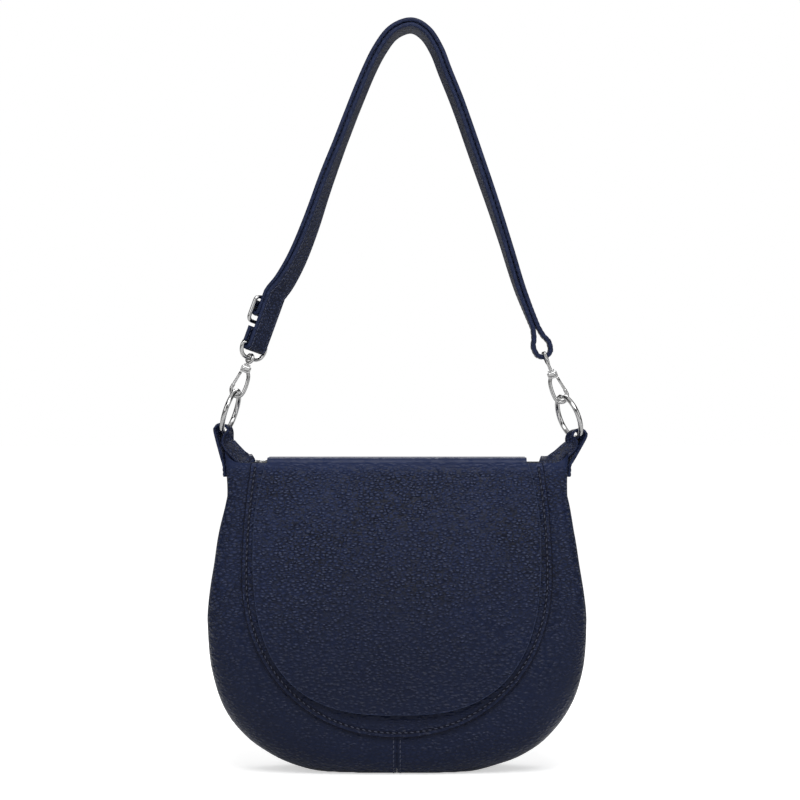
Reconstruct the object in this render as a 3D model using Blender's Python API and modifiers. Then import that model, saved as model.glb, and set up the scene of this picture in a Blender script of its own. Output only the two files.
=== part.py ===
"""A navy leather crossbody bag: a standing saddle shape with a long front flap,
a zipped mouth, and one long strap that is doubled between its two hooks."""

import math

import bmesh
import bpy
from mathutils import Matrix, Vector

# Bag shell
WIDTH = 0.309
TOP_Z = 0.250
BELLY_Z = 0.123
BASE_SINK = 0.006
BELLY_POWER = 2.7
SHOULDER_IN = 0.0155
SHOULDER_RISE = 0.100
SHOULDER_EASE = 1.5
TOP_HALF_DEPTH = 0.016
DEPTH_GROWTH = 0.030
DEPTH_EASE = 1.6
FRONT_CROWN = 0.006
BACK_CROWN = 0.006
SIDE_FORWARD = 0.008
SIDE_ROUND = 2.8
LEATHER = 0.0022
GUSSET_LEATHER = 0.0020
FLANGE = 0.007
SEAM_HALF_GAP = 0.0005
CLEARANCE = 0.0004
FIT = 0.0003
WELD = 0.000003

# Front panel
FRONT_BORDER = 0.0295
FRONT_WIDTH = WIDTH - 2 * FRONT_BORDER
FRONT_KNEE_Z = 0.160
FRONT_DROP = 0.129
FRONT_POWER = 2.1
FRONT_TAPER = 0.007
FRONT_EASE = 1.9

# Back panel
BACK_BORDER = 0.0125
BACK_WIDTH = WIDTH - 2 * BACK_BORDER
BACK_KNEE_Z = 0.130
BACK_DROP = 0.112
BACK_POWER = 2.5
BACK_TAPER = 0.016
BACK_EASE = 1.5

# Flap
FLAP_BORDER = 0.0090
FLAP_WIDTH = FRONT_WIDTH - 2 * FLAP_BORDER
FLAP_KNEE_Z = 0.183
FLAP_DROP = 0.1335
FLAP_POWER = 2.7
FLAP_TAPER = 0.011
FLAP_EASE = 2.0
FLAP_LEATHER = 0.0022
FLAP_TOP_GAP = 0.0008
FLAP_FREE_GAP = 0.0034
FLAP_BEND = 0.0055
FLAP_HINGE_Y = 0.013
FLAP_LIFT = 0.0030

# Magnetic snap
SNAP_RADIUS = 0.008
SNAP_DEPTH = 0.0011
SNAP_Z = 0.078

# Base board and lining
BOARD_LENGTH = 0.090
BOARD_DEPTH = 0.038
BOARD_THICKNESS = 0.002
LINING = 0.0008
LINING_SIDE_ROOM = 0.012
LINING_FACE_ROOM = 0.0062
LINING_TOP_Z = 0.236
LINING_FOOT_RISE = 0.030
LINING_FOOT_SHARE = 0.30
LINING_POWER = 3.0

# Zip
TEETH_Y = 0.0095
TEETH_WIDTH = 0.0030
TEETH_HEIGHT = 0.0024
TEETH_Z = 0.2462
TAPE = 0.0006
TAPE_SIDE_IN = 0.0505
TAPE_LENGTH = WIDTH - 2 * TAPE_SIDE_IN
TAPE_SPARE = 0.004
TAPE_DROP = 0.011
ZIP_END_LENGTH = 0.0093
ZIP_END_WIDTH = 0.0236
ZIP_END_THICKNESS = 0.0012
ZIP_END_GAP = 0.0005
SLIDER_LENGTH = 0.0110
SLIDER_WIDTH = 0.0090
SLIDER_HEIGHT = 0.0030
SLIDER_OUT = 0.0045
PULLER_LENGTH = 0.0094
PULLER_WIDTH = 0.006
PULLER_THICKNESS = 0.0014

# Strap
STRAP_WIDTH = 0.020
STRAP_LEATHER = 0.0034
STRAP_LAYER_GAP = 0.0006
STRAP_SIDE_IN = 0.0395
STRAP_HALF_SPAN = WIDTH / 2 - STRAP_SIDE_IN
STRAP_TOP = 0.6098
LEFT_LEG_SHARES = ((-0.795, 0.0548), (-0.705, 0.1432), (-0.612, 0.2648), (-0.510, 0.4196),
                   (-0.404, 0.5661), (-0.295, 0.7126), (-0.200, 0.8314), (-0.118, 0.9143),
                   (-0.025, 0.9751))
RIGHT_LEG_SHARES = ((0.100, 1.0000), (0.205, 0.9710), (0.285, 0.9060), (0.345, 0.8259),
                    (0.440, 0.7015), (0.568, 0.5108), (0.680, 0.3422), (0.775, 0.1902),
                    (0.862, 0.0437), (0.925, -0.0447))
TAIL_TWIST = 45.0
LEG_TWIST = 13.0
LEG_STEPS = 3
TWIST_STEPS = 15
TAIL_STEPS = 4
LOOP_STEPS = 2
FOLD_STEPS = 6
TAB_STEPS = 2

# D-ring at the strap's sewn end
D_BAR_SIDE_IN = 0.0380
D_BAR_X = D_BAR_SIDE_IN - WIDTH / 2
D_BAR_Z = 0.3460
D_WIRE = 0.0016
D_HALF_WIDTH = 0.0130
D_POWER = 2.8
D_DEPTH = 0.0115
TAIL_LEAN = 20.0
SEWN_END = 0.014

# Buckle, above the D-ring
BUCKLE_RISE = 0.0285
BUCKLE_HALF_LENGTH = 0.0105
BUCKLE_WIRE = 0.0016
BUCKLE_CORNER = 0.0040
FOLD_END = 0.0070
TAIL_PAST = 0.0060
TAIL_REACH = BUCKLE_RISE + BUCKLE_HALF_LENGTH + TAIL_PAST

# Strap loop over the right hook's eye
LOOP_SIDE_IN = 0.0355
LOOP_X = WIDTH / 2 - LOOP_SIDE_IN
LOOP_Z = 0.3435
LOOP_LEAN = 18.4
LOOP_HALF_WIDTH = 0.0065
LOOP_DROP = 0.0073
LOOP_NECK = 0.0180
LOOP_SHARES = ((0.55, 0.60), (0.22, 1.00), (-0.10, 0.97))
EYE_WIRE = 0.0013

# Round rings and the leather tabs that hold them
RING_RADIUS = 0.018
RING_WIRE = 0.0020
LEFT_RING_SIDE_IN = 0.0182
LEFT_RING_X = LEFT_RING_SIDE_IN - WIDTH / 2
LEFT_RING_Z = 0.2917
LEFT_RING_LEAN = 18.0
LEFT_RING_YAW = 10.0
RIGHT_RING_SIDE_IN = 0.0136
RIGHT_RING_X = WIDTH / 2 - RIGHT_RING_SIDE_IN
RIGHT_RING_Z = 0.2873
RIGHT_RING_LEAN = 21.0
RIGHT_RING_YAW = 21.0
TAB_WIDTH = 0.012
TAB_LEATHER = 0.0024
TAB_LOOP_ROOM = 0.0028
TAB_FOOT_Z = 0.228
TAB_HOLD = 0.0200
TAB_UNIT = 0.010
TAB_LEAN_SHARE = 0.30
HELD_TURNS = (0, 0, 0, -5)
OVER_TURNS = (-16, -16, -8, 0, 4, 10)
LEFT_TAB_SHARES = ((0.62, 0.00, 0.00, 18), (0.46, -0.56, 0.10, 52), (0.46, -0.95, 0.20, 75),
                   (1.07, -1.63, 0.40, 80), (1.57, -2.05, 0.50, 70), (2.09, -2.16, 0.50, 48),
                   (2.49, -2.01, 0.45, 25))
RIGHT_TAB_SHARES = ((0.70, 0.00, 0.00, 30), (0.53, -0.60, 0.15, 70), (1.04, -1.12, 0.30, 75),
                    (1.71, -1.65, 0.48, 68), (2.36, -1.90, 0.52, 45), (3.06, -1.77, 0.45, 22))

# Hooks
HOOK_WIRE = 0.0016
HOOK_LENGTH = 0.022
HOOK_PATH_SHARES = ((-0.225, 0.155), (-0.235, 0.000), (-0.150, -0.170), (0.000, -0.215),
                    (0.160, -0.145), (0.235, 0.040), (0.240, 0.360), (0.190, 0.640),
                    (0.060, 0.860))
GATE_WIRE = 0.0012
GATE_TOP_SHARES = (-0.130, 0.722)
GATE_FOOT_SHARES = (-0.222, 0.200)
HEAD_WIDTH = 0.0080
HEAD_DEPTH = 0.0050
HEAD_HEIGHT = 0.0056
POST_RADIUS = 0.0014
COLLAR_RADIUS = 0.0027
COLLAR_HEIGHT = 0.0014
SMALL_EYE_RADIUS = 0.0034
WIDE_EYE_HALF = 0.0125
WIDE_EYE_DEPTH = 0.0092
WIDE_EYE_SHARES = ((0.94, 0.00), (-0.94, 0.00), (-1.00, 0.08), (-1.00, 0.60), (-0.50, 1.00),
                   (0.50, 1.00), (1.00, 0.60), (1.00, 0.08))

# Mesh fineness
LOW_ROWS = 9
HIGH_ROWS = 5
PANEL_COLUMNS = 8
GUSSET_STEPS = 5
ROUND_SIDES = 24


def clear_scene():
    for thing in list(bpy.data.objects):
        bpy.data.objects.remove(thing, do_unlink=True)


def principled(name, colour, roughness, metallic=0.0):
    material = bpy.data.materials.new(name)
    material.use_nodes = True
    shader = material.node_tree.nodes["Principled BSDF"]
    shader.inputs["Base Color"].default_value = (*colour, 1.0)
    shader.inputs["Roughness"].default_value = roughness
    shader.inputs["Metallic"].default_value = metallic
    return material


def leather():
    return principled("navy_leather", (0.030, 0.038, 0.085), 0.45)


def chrome():
    return principled("polished_chrome", (0.78, 0.78, 0.80), 0.12, 1.0)


def lining_cloth():
    return principled("lining_cloth", (0.020, 0.022, 0.045), 0.85)


def board_stuff():
    return principled("board", (0.10, 0.09, 0.08), 0.80)


def add_object(name, mesh, material, origin=Vector()):
    """A new object whose mesh, given in world places, hangs on the origin named."""
    mesh.transform(Matrix.Translation(-origin))
    mesh.materials.append(material)
    thing = bpy.data.objects.new(name, mesh)
    thing.location = origin
    bpy.data.collections["crossbody_bag"].objects.link(thing)
    return thing


def solidify(thing, thickness, offset):
    """Thickens an open sheet: offset -1 grows inwards, 0 both ways, 1 outwards."""
    shell = thing.modifiers.new("thickness", "SOLIDIFY")
    shell.thickness = thickness
    shell.offset = offset
    shell.use_even_offset = True
    return shell


def grid_mesh(name, rows, closed=False, cap_first=False, cap_last=False):
    """A sheet of quads through rows of points; closed joins each row's two ends."""
    mesh = bmesh.new()
    lines = [[mesh.verts.new(point) for point in row] for row in rows]
    count = len(rows[0])
    spans = count if closed else count - 1
    for lower, upper in zip(lines, lines[1:]):
        for i in range(spans):
            j = (i + 1) % count
            mesh.faces.new((lower[i], lower[j], upper[j], upper[i]))
    if cap_first:
        mesh.faces.new(list(reversed(lines[0])))
    if cap_last:
        mesh.faces.new(lines[-1])
    data = bpy.data.meshes.new(name)
    mesh.to_mesh(data)
    mesh.free()
    data.shade_smooth()
    data.set_sharp_from_angle(angle=math.radians(40))
    return data


class Outline:
    """A saddle outline: a rounded foot below the knee and a tapering top above it."""

    def __init__(self, width, knee, drop, power, taper, rise, ease):
        self.half = width / 2
        self.knee = knee
        self.drop = drop
        self.power = power
        self.taper = taper
        self.rise = rise
        self.ease = ease

    def shrunk(self, inset):
        """The same outline, drawn in by the inset all round its foot and sides."""
        return Outline(2 * (self.half - inset), self.knee, self.drop - inset,
                       self.power, self.taper, self.rise, self.ease)

    def low(self, angle):
        """Half width and height at an angle, 0 at the foot's middle, 90 at the knee."""
        out = self.half * math.sin(angle) ** (2 / self.power)
        down = self.drop * math.cos(angle) ** (2 / self.power)
        return out, self.knee - down

    def high(self, z):
        t = min((z - self.knee) / self.rise, 1.0)
        return self.half - self.taper * t ** self.ease

    def rows(self, top, start_angle=0.0):
        """Half widths and heights, from the foot's middle up to the top."""
        found = []
        for i in range(LOW_ROWS):
            angle = start_angle + (math.pi / 2 - start_angle) * i / LOW_ROWS
            found.append(self.low(angle))
        for i in range(HIGH_ROWS + 1):
            z = self.knee + (top - self.knee) * i / HIGH_ROWS
            found.append((self.high(z), z))
        return found


SIDE = Outline(WIDTH, BELLY_Z, BELLY_Z + BASE_SINK, BELLY_POWER, SHOULDER_IN,
               SHOULDER_RISE, SHOULDER_EASE)
FRONT = Outline(FRONT_WIDTH, FRONT_KNEE_Z, FRONT_DROP, FRONT_POWER, FRONT_TAPER,
                TOP_Z - FRONT_KNEE_Z, FRONT_EASE)
BACK = Outline(BACK_WIDTH, BACK_KNEE_Z, BACK_DROP, BACK_POWER, BACK_TAPER,
               TOP_Z - BACK_KNEE_Z, BACK_EASE)
FLAP_TOP_Z = TOP_Z + FLAP_LIFT + FLAP_LEATHER
FLAP = Outline(FLAP_WIDTH, FLAP_KNEE_Z, FLAP_DROP, FLAP_POWER, FLAP_TAPER,
               FLAP_TOP_Z - FLAP_KNEE_Z, FLAP_EASE)


def half_depth(z):
    share = max(z, 0.0) / TOP_Z
    return TOP_HALF_DEPTH + DEPTH_GROWTH * (1 - min(share, 1.0) ** DEPTH_EASE)


def crown(x, z, half, height):
    across = 1 - min(abs(x) / half, 1.0) ** 2
    return height * across * math.sin(math.pi * min(max(z, 0.0) / TOP_Z, 1.0))


def front_y(x, z, inset=0.0):
    """The outer face of the front panel, or a face that lies inset behind it."""
    return -(half_depth(z) + crown(x, z, FRONT.half, FRONT_CROWN) - inset)


def back_y(x, z, inset=0.0):
    return half_depth(z) + crown(x, z, BACK.half, BACK_CROWN) - inset


def panel_rows(outline, face, top):
    """Rows of points from side to side, from the foot up to the top edge."""
    first = math.pi / 2 / LOW_ROWS / 2
    rows = []
    for half, z in outline.rows(top, first):
        row = []
        for i in range(2 * PANEL_COLUMNS + 1):
            x = half * (i / PANEL_COLUMNS - 1)
            row.append((x, face(x, z), z))
        rows.append(row)
    return rows


def front_panel():
    rows = panel_rows(FRONT, front_y, TOP_Z)
    thing = add_object("front_panel", grid_mesh("front_panel", rows), leather())
    solidify(thing, LEATHER, -1)


def back_panel():
    rows = [list(reversed(row)) for row in panel_rows(BACK, back_y, TOP_Z)]
    thing = add_object("back_panel", grid_mesh("back_panel", rows), leather())
    solidify(thing, LEATHER, -1)


def gusset_sections(front, side, back):
    """Across the border at one height: flange, front edge, round the side, back."""
    (fx, fz), (sx, sz), (bx, bz) = front[1], side, back[1]
    middle_y = -SIDE_FORWARD * math.sin(math.pi * min(max(sz, 0.0) / TOP_Z, 1.0))
    under = LEATHER + CLEARANCE
    points = [Vector((front[0][0], front_y(*front[0], under), front[0][1]))]
    start_y = front_y(fx, fz, under)
    end_y = back_y(bx, bz, under)
    for i in range(GUSSET_STEPS + 1):
        angle = math.pi / 2 * i / GUSSET_STEPS
        out = math.sin(angle) ** (2 / SIDE_ROUND)
        fore = math.cos(angle) ** (2 / SIDE_ROUND)
        points.append(Vector((fx + (sx - fx) * out, middle_y + (start_y - middle_y) * fore,
                              fz + (sz - fz) * out)))
    for i in reversed(range(GUSSET_STEPS)):
        angle = math.pi / 2 * i / GUSSET_STEPS
        out = math.sin(angle) ** (2 / SIDE_ROUND)
        aft = math.cos(angle) ** (2 / SIDE_ROUND)
        points.append(Vector((bx + (sx - bx) * out, middle_y + (end_y - middle_y) * aft,
                              bz + (sz - bz) * out)))
    points.append(Vector((back[0][0], back_y(*back[0], under), back[0][1])))
    for point in points:
        point.x = max(point.x, SEAM_HALF_GAP)
        point.z = max(point.z, 0.0)
    return points


def gusset(name, side_sign):
    outlines = [FRONT.shrunk(FLANGE), FRONT, SIDE, BACK, BACK.shrunk(FLANGE)]
    tables = [outline.rows(TOP_Z) for outline in outlines]
    rows = []
    for flange, front, side, back, back_flange in zip(*tables):
        rows.append(gusset_sections((flange, front), side, (back_flange, back)))
    rows = [[(side_sign * p.x, p.y, p.z) for p in row] for row in rows]
    if side_sign > 0:
        rows = [list(reversed(row)) for row in rows]
    thing = add_object(name, grid_mesh(name, rows), leather())
    solidify(thing, GUSSET_LEATHER, 1)


def base_board():
    outline = bpy.data.curves.new("base_board", "CURVE")
    outline.dimensions = "2D"
    outline.fill_mode = "BOTH"
    outline.extrude = BOARD_THICKNESS / 2
    line = outline.splines.new("POLY")
    line.points.add(ROUND_SIDES - 1)
    for i in range(ROUND_SIDES):
        turn = 2 * math.pi * (i + 1 / 2) / ROUND_SIDES
        x = BOARD_LENGTH / 2 * math.copysign(abs(math.cos(turn)) ** (1 / 2), math.cos(turn))
        y = BOARD_DEPTH / 2 * math.copysign(abs(math.sin(turn)) ** (1 / 2), math.sin(turn))
        line.points[i].co = (x, y, 0, 1)
    line.use_cyclic_u = True
    outline.materials.append(board_stuff())
    thing = bpy.data.objects.new("base_board", outline)
    thing.location = (0, 0, GUSSET_LEATHER + FIT + BOARD_THICKNESS / 2)
    bpy.data.collections["crossbody_bag"].objects.link(thing)


def lining():
    """A cloth bag inside the leather, closed below and open at the mouth."""
    floor = GUSSET_LEATHER + FIT + BOARD_THICKNESS + FIT
    rows = []
    for i in range(LOW_ROWS + 1):
        rise = (i / LOW_ROWS) ** 2
        z = floor + (LINING_TOP_Z - floor) * rise
        foot = max(1 - (z - floor) / LINING_FOOT_RISE, 0.0) ** 2
        share = 1 - LINING_FOOT_SHARE * foot
        if z < SIDE.knee:
            low = 1 - ((SIDE.knee - z) / SIDE.drop) ** SIDE.power
            side = SIDE.half * low ** (1 / SIDE.power)
        else:
            side = SIDE.high(z)
        half = (side - LINING_SIDE_ROOM) * share
        deep = (half_depth(z) - LINING_FACE_ROOM) * share
        row = []
        for k in range(2 * ROUND_SIDES):
            turn = math.pi * (k + 1 / 2) / ROUND_SIDES
            x = half * math.copysign(abs(math.cos(turn)) ** (2 / LINING_POWER), math.cos(turn))
            y = deep * math.copysign(abs(math.sin(turn)) ** (2 / LINING_POWER), math.sin(turn))
            row.append((x, y, z))
        rows.append(row)
    mesh = grid_mesh("lining", rows, closed=True, cap_first=True)
    thing = add_object("lining", mesh, lining_cloth())
    solidify(thing, LINING, -1)


def flap_gap(z):
    """How far the flap's inner face stands off the front panel at one height."""
    share = (FLAP_TOP_Z - z) / (FLAP_TOP_Z - FLAP_KNEE_Z + FLAP_DROP)
    return FLAP_TOP_GAP + FLAP_FREE_GAP * share


def flap_face(x, z):
    """The flap's outer face where it hangs over the front panel."""
    return front_y(x, z) - flap_gap(z) - FLAP_LEATHER


def flap():
    """One sheet: up the front, round the top edge, and back to its hinge line."""
    bend_top = FLAP_TOP_Z
    straight_top = FLAP_TOP_Z - FLAP_BEND
    rows = panel_rows(FLAP, flap_face, straight_top)
    half = FLAP.high(FLAP_TOP_Z)
    steps = HIGH_ROWS
    for i in range(1, steps + 1):
        angle = math.pi / 2 * i / steps
        row = []
        for k in range(2 * PANEL_COLUMNS + 1):
            x = half * (k / PANEL_COLUMNS - 1)
            edge = flap_face(x, straight_top)
            row.append((x, edge + FLAP_BEND * (1 - math.cos(angle)),
                        straight_top + FLAP_BEND * math.sin(angle)))
        rows.append(row)
    for i in range(1, HIGH_ROWS + 1):
        row = []
        for k in range(2 * PANEL_COLUMNS + 1):
            x = half * (k / PANEL_COLUMNS - 1)
            start = flap_face(x, straight_top) + FLAP_BEND
            row.append((x, start + (FLAP_HINGE_Y - start) * i / HIGH_ROWS, bend_top))
        rows.append(row)
    hinge = Vector((0, FLAP_HINGE_Y, FLAP_TOP_Z - FLAP_LEATHER / 2))
    thing = add_object("flap", grid_mesh("flap", rows), leather(), hinge)
    solidify(thing, FLAP_LEATHER, -1)


def snap_disc(name, standoff, radius):
    """A flat round magnet half, square to the front panel at the snap's place."""
    step = SNAP_RADIUS
    lower = Vector((0, front_y(0, SNAP_Z - step), SNAP_Z - step))
    upper = Vector((0, front_y(0, SNAP_Z + step), SNAP_Z + step))
    along = (upper - lower).normalized()
    outward = Vector((1, 0, 0)).cross(along)
    centre = Vector((0, front_y(0, SNAP_Z), SNAP_Z))
    centre += outward * (standoff + SNAP_DEPTH / 2)
    disc = bmesh.new()
    bmesh.ops.create_cone(disc, cap_ends=True, segments=ROUND_SIDES, radius1=radius,
                          radius2=radius, depth=SNAP_DEPTH)
    mesh = bpy.data.meshes.new(name)
    disc.to_mesh(mesh)
    disc.free()
    mesh.transform(Matrix.Translation(centre) @ outward.to_track_quat("Z", "Y").to_matrix().to_4x4())
    add_object(name, mesh, chrome())


def snap():
    snap_disc("snap_socket", FIT, SNAP_RADIUS)
    room = flap_gap(SNAP_Z)
    snap_disc("snap_stud", room - FIT - SNAP_DEPTH, SNAP_RADIUS)


def block(name, size, centre, material, bevel=0.0, origin=None):
    """A box of the size given, with rounded edges where a bevel is asked."""
    cube = bmesh.new()
    bmesh.ops.create_cube(cube, size=1)
    mesh = bpy.data.meshes.new(name)
    cube.to_mesh(mesh)
    cube.free()
    mesh.transform(Matrix.Translation(centre) @ Matrix.Diagonal((*size, 1)))
    thing = add_object(name, mesh, material, origin or Vector(centre))
    if bevel:
        edge = thing.modifiers.new("edges", "BEVEL")
        edge.width = bevel
        edge.segments = 2
    return thing


def zip_side(name, sign):
    """One tape against its panel, with its row of teeth at the mouth."""
    y = sign * TEETH_Y
    block(f"zip_teeth_{name}", (TAPE_LENGTH - 2 * TAPE_SPARE, TEETH_WIDTH, TEETH_HEIGHT),
          (0, y, TEETH_Z), chrome())
    face = front_y if sign < 0 else back_y
    inset = LEATHER + FIT + TAPE / 2
    rows = []
    for i in range(HIGH_ROWS + 1):
        z = TEETH_Z - TAPE_DROP + (TAPE_DROP - TEETH_HEIGHT / 2) * i / HIGH_ROWS
        rows.append([(TAPE_LENGTH / 2 * (k / 2 - 1), face(FRONT.half, z, inset), z)
                     for k in range(5)])
    inner = TEETH_Y + TEETH_WIDTH / 2 + FIT
    rows.append([(TAPE_LENGTH / 2 * (k / 2 - 1), sign * inner, TEETH_Z) for k in range(5)])
    thing = add_object(f"zip_tape_{name}", grid_mesh(f"zip_tape_{name}", rows), lining_cloth())
    solidify(thing, TAPE, 0)


def zip_end(side, sign):
    """The cloth tab that closes one end of the mouth, where the slider stops."""
    x = sign * (TAPE_LENGTH / 2 + ZIP_END_GAP + ZIP_END_LENGTH / 2)
    z = TEETH_Z + TEETH_HEIGHT / 2 - ZIP_END_THICKNESS / 2
    block(f"zip_end_{side}", (ZIP_END_LENGTH, ZIP_END_WIDTH, ZIP_END_THICKNESS), (x, 0, z),
          lining_cloth())


def zip_slider():
    """The slider over the mouth's left end, with its puller lying on top of it."""
    x = -(TAPE_LENGTH / 2 + SLIDER_OUT)
    height = TEETH_Z + TEETH_HEIGHT / 2 + FIT + SLIDER_HEIGHT / 2
    block("zip_slider", (SLIDER_LENGTH, SLIDER_WIDTH, SLIDER_HEIGHT), (x, 0, height),
          chrome(), SLIDER_HEIGHT / 6)
    rest = height + SLIDER_HEIGHT / 2 + FIT + PULLER_THICKNESS / 2
    hinge = Vector((x - SLIDER_LENGTH / 2 - PULLER_THICKNESS / 2, 0, rest))
    middle = hinge + Vector((PULLER_LENGTH / 2 - PULLER_THICKNESS / 2, 0, 0))
    block("zip_puller", (PULLER_LENGTH, PULLER_WIDTH, PULLER_THICKNESS), middle, chrome(),
          PULLER_THICKNESS / 4, hinge)

UP = Vector((0, 0, 1))
ACROSS = Vector((0, 1, 0))
LAYER_OFFSET = (STRAP_LEATHER + STRAP_LAYER_GAP) / 2


def leaning(degrees):
    """A direction in the bag's front plane that leans to the right by the angle."""
    angle = math.radians(degrees)
    return Vector((math.sin(angle), 0, math.cos(angle)))


def band_frame(tangent, twist):
    """The outward normal and the across direction of a band that is twisted."""
    angle = math.radians(twist)
    inward = ACROSS.cross(tangent).normalized()
    normal = math.sin(angle) * ACROSS - math.cos(angle) * inward
    across = math.cos(angle) * ACROSS + math.sin(angle) * inward
    return normal, across


TAIL_UP = leaning(TAIL_LEAN)
TAIL_NORMAL, TAIL_ACROSS = band_frame(TAIL_UP, TAIL_TWIST)
D_FOLD = D_WIRE + FIT + STRAP_LEATHER / 2
BUCKLE_FOLD = BUCKLE_WIRE + FIT + STRAP_LEATHER / 2
D_BAR = Vector((D_BAR_X, 0, D_BAR_Z))
TAIL = D_BAR - TAIL_NORMAL * D_FOLD
BUCKLE = TAIL + TAIL_UP * BUCKLE_RISE + TAIL_NORMAL * (2 * LAYER_OFFSET + BUCKLE_FOLD)
LOOP_UP = leaning(-LOOP_LEAN)
LOOP_IN = LOOP_UP.cross(ACROSS)
LOOP = Vector((LOOP_X, 0, LOOP_Z))
WIDE_EYE_BAR = LOOP - LOOP_UP * (LOOP_DROP - STRAP_LEATHER / 2 - FIT - EYE_WIRE)


def smooth_path(points, steps):
    """Points on a smooth curve through the ones given."""
    ends = [2 * points[0] - points[1], *points, 2 * points[-1] - points[-2]]
    found = []
    for a, b, c, d in zip(ends, ends[1:], ends[2:], ends[3:]):
        for i in range(steps):
            t = i / steps
            found.append((2 * b + (c - a) * t + (2 * a - 5 * b + 4 * c - d) * t ** 2
                          + (3 * b - a - 3 * c + d) * t ** 3) / 2)
    found.append(points[-1])
    return found


def fold(centre, start, towards, radius):
    """Half a turn round a bar: from its start side, through towards, to the far side."""
    found = []
    for i in range(FOLD_STEPS + 1):
        angle = math.pi * i / FOLD_STEPS
        found.append(centre + radius * (math.cos(angle) * start + math.sin(angle) * towards))
    return found


def leg_centres():
    """Centre line of the doubled strap, from the buckle over the top to the loop."""
    start = TAIL + TAIL_NORMAL * LAYER_OFFSET + TAIL_UP * TAIL_REACH
    low = (TAIL + TAIL_UP * TAIL_REACH).z
    end = LOOP + LOOP_UP * LOOP_NECK
    points = [start]
    for x, z in LEFT_LEG_SHARES + RIGHT_LEG_SHARES:
        points.append(Vector((x * STRAP_HALF_SPAN, 0, low + z * (STRAP_TOP - low))))
    points.append(end)
    return smooth_path(points, LEG_STEPS)


def leg_layers():
    """The inner and the outer layer along the legs, each with its across direction."""
    centres = leg_centres()
    inner = []
    outer = []
    last = len(centres) - 1
    for i, centre in enumerate(centres):
        tangent = (centres[min(i + 1, last)] - centres[max(i - 1, 0)]).normalized()
        tangent.y = 0
        if i == 0:
            tangent = TAIL_UP
        if i == last:
            tangent = -LOOP_UP
        share = min(i / TWIST_STEPS, 1.0)
        twist = TAIL_TWIST + (LEG_TWIST - TAIL_TWIST) * share
        twist *= min((last - i) / TWIST_STEPS, 1.0)
        normal, across = band_frame(tangent.normalized(), twist)
        inner.append((centre - normal * LAYER_OFFSET, across))
        outer.append((centre + normal * LAYER_OFFSET, across))
    return inner, outer


def strap_stations():
    """The whole band, from its end sewn round the D-ring to its end at the buckle."""
    front = TAIL + TAIL_NORMAL * 2 * D_FOLD
    sewn = [front + TAIL_UP * SEWN_END, front + TAIL_UP * SEWN_END / 2]
    sewn += fold(D_BAR, TAIL_NORMAL, -TAIL_UP, D_FOLD)
    for i in range(1, TAIL_STEPS):
        sewn.append(TAIL + TAIL_UP * TAIL_REACH * i / TAIL_STEPS)
    stations = [(point, TAIL_ACROSS) for point in sewn]
    inner, outer = leg_layers()
    stations += inner
    side = [(LOOP_NECK * t, LOOP_HALF_WIDTH * n) for t, n in LOOP_SHARES]
    around = side + [(-LOOP_DROP * math.cos(a), LOOP_HALF_WIDTH * math.sin(a))
                     for a in (math.pi / 4, 0, -math.pi / 4)]
    around += [(t, -n) for t, n in reversed(side)]
    rough = [inner[-1][0]] + [LOOP + LOOP_UP * t + LOOP_IN * n for t, n in around]
    rough.append(outer[-1][0])
    stations += [(point, ACROSS) for point in smooth_path(rough, LOOP_STEPS)[1:-1]]
    stations += reversed(outer)
    front = TAIL + TAIL_NORMAL * 2 * LAYER_OFFSET
    back_side = [front + TAIL_UP * (BUCKLE_RISE + BUCKLE_FOLD)]
    back_side += fold(BUCKLE, -TAIL_NORMAL, -TAIL_UP, BUCKLE_FOLD)
    back_side.append(BUCKLE + TAIL_NORMAL * BUCKLE_FOLD + TAIL_UP * FOLD_END)
    stations += [(point, TAIL_ACROSS) for point in back_side]
    return stations


def ribbon(name, stations, width, thickness, material, origin=Vector()):
    """A flat band through its stations."""
    rows = [[point - across * width / 2, point + across * width / 2]
            for point, across in stations]
    thing = add_object(name, grid_mesh(name, rows), material, origin)
    solidify(thing, thickness, 0)
    return thing


def wire(name, points, radius, material, closed=False, origin=Vector()):
    """A round wire through its points, as a mesh."""
    line = bpy.data.curves.new(name, "CURVE")
    line.dimensions = "3D"
    line.bevel_depth = radius
    line.bevel_resolution = 2
    line.use_fill_caps = not closed
    run = line.splines.new("POLY")
    run.points.add(len(points) - 1)
    for spot, point in zip(run.points, points):
        spot.co = (*point, 1)
    run.use_cyclic_u = closed
    guide = bpy.data.objects.new(name + "_line", line)
    bpy.context.scene.collection.objects.link(guide)
    bpy.context.view_layer.update()
    mesh = bpy.data.meshes.new_from_object(guide.evaluated_get(
        bpy.context.evaluated_depsgraph_get()))
    bpy.data.objects.remove(guide, do_unlink=True)
    welded = bmesh.new()
    welded.from_mesh(mesh)
    bmesh.ops.remove_doubles(welded, verts=welded.verts, dist=WELD)
    welded.to_mesh(mesh)
    welded.free()
    mesh.shade_smooth()
    mesh.set_sharp_from_angle(angle=math.radians(40))
    mesh.name = name
    return add_object(name, mesh, material, origin)


def union(thing, added):
    """Joins a second shape to the first, and sets it aside as a guide."""
    collection = bpy.data.collections["crossbody_bag"]
    collection.objects.unlink(added)
    bpy.data.collections["cutters"].objects.link(added)
    added.hide_render = True
    added.display_type = "WIRE"
    joint = thing.modifiers.new("joined", "BOOLEAN")
    joint.operation = "UNION"
    joint.solver = "EXACT"
    joint.object = added


def strap():
    ribbon("strap", strap_stations(), STRAP_WIDTH, STRAP_LEATHER, leather())


def d_ring():
    points = []
    for i in range(ROUND_SIDES // 2 + 1):
        angle = math.pi * i / (ROUND_SIDES // 2)
        share = math.copysign(abs(math.cos(angle)) ** (2 / D_POWER), math.cos(angle))
        drop = max(math.sin(angle), 0.0) ** (2 / D_POWER)
        points.append(D_BAR + TAIL_ACROSS * D_HALF_WIDTH * share - TAIL_UP * D_DEPTH * drop)
    wire("d_ring", points, D_WIRE, chrome(), closed=True)


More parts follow.
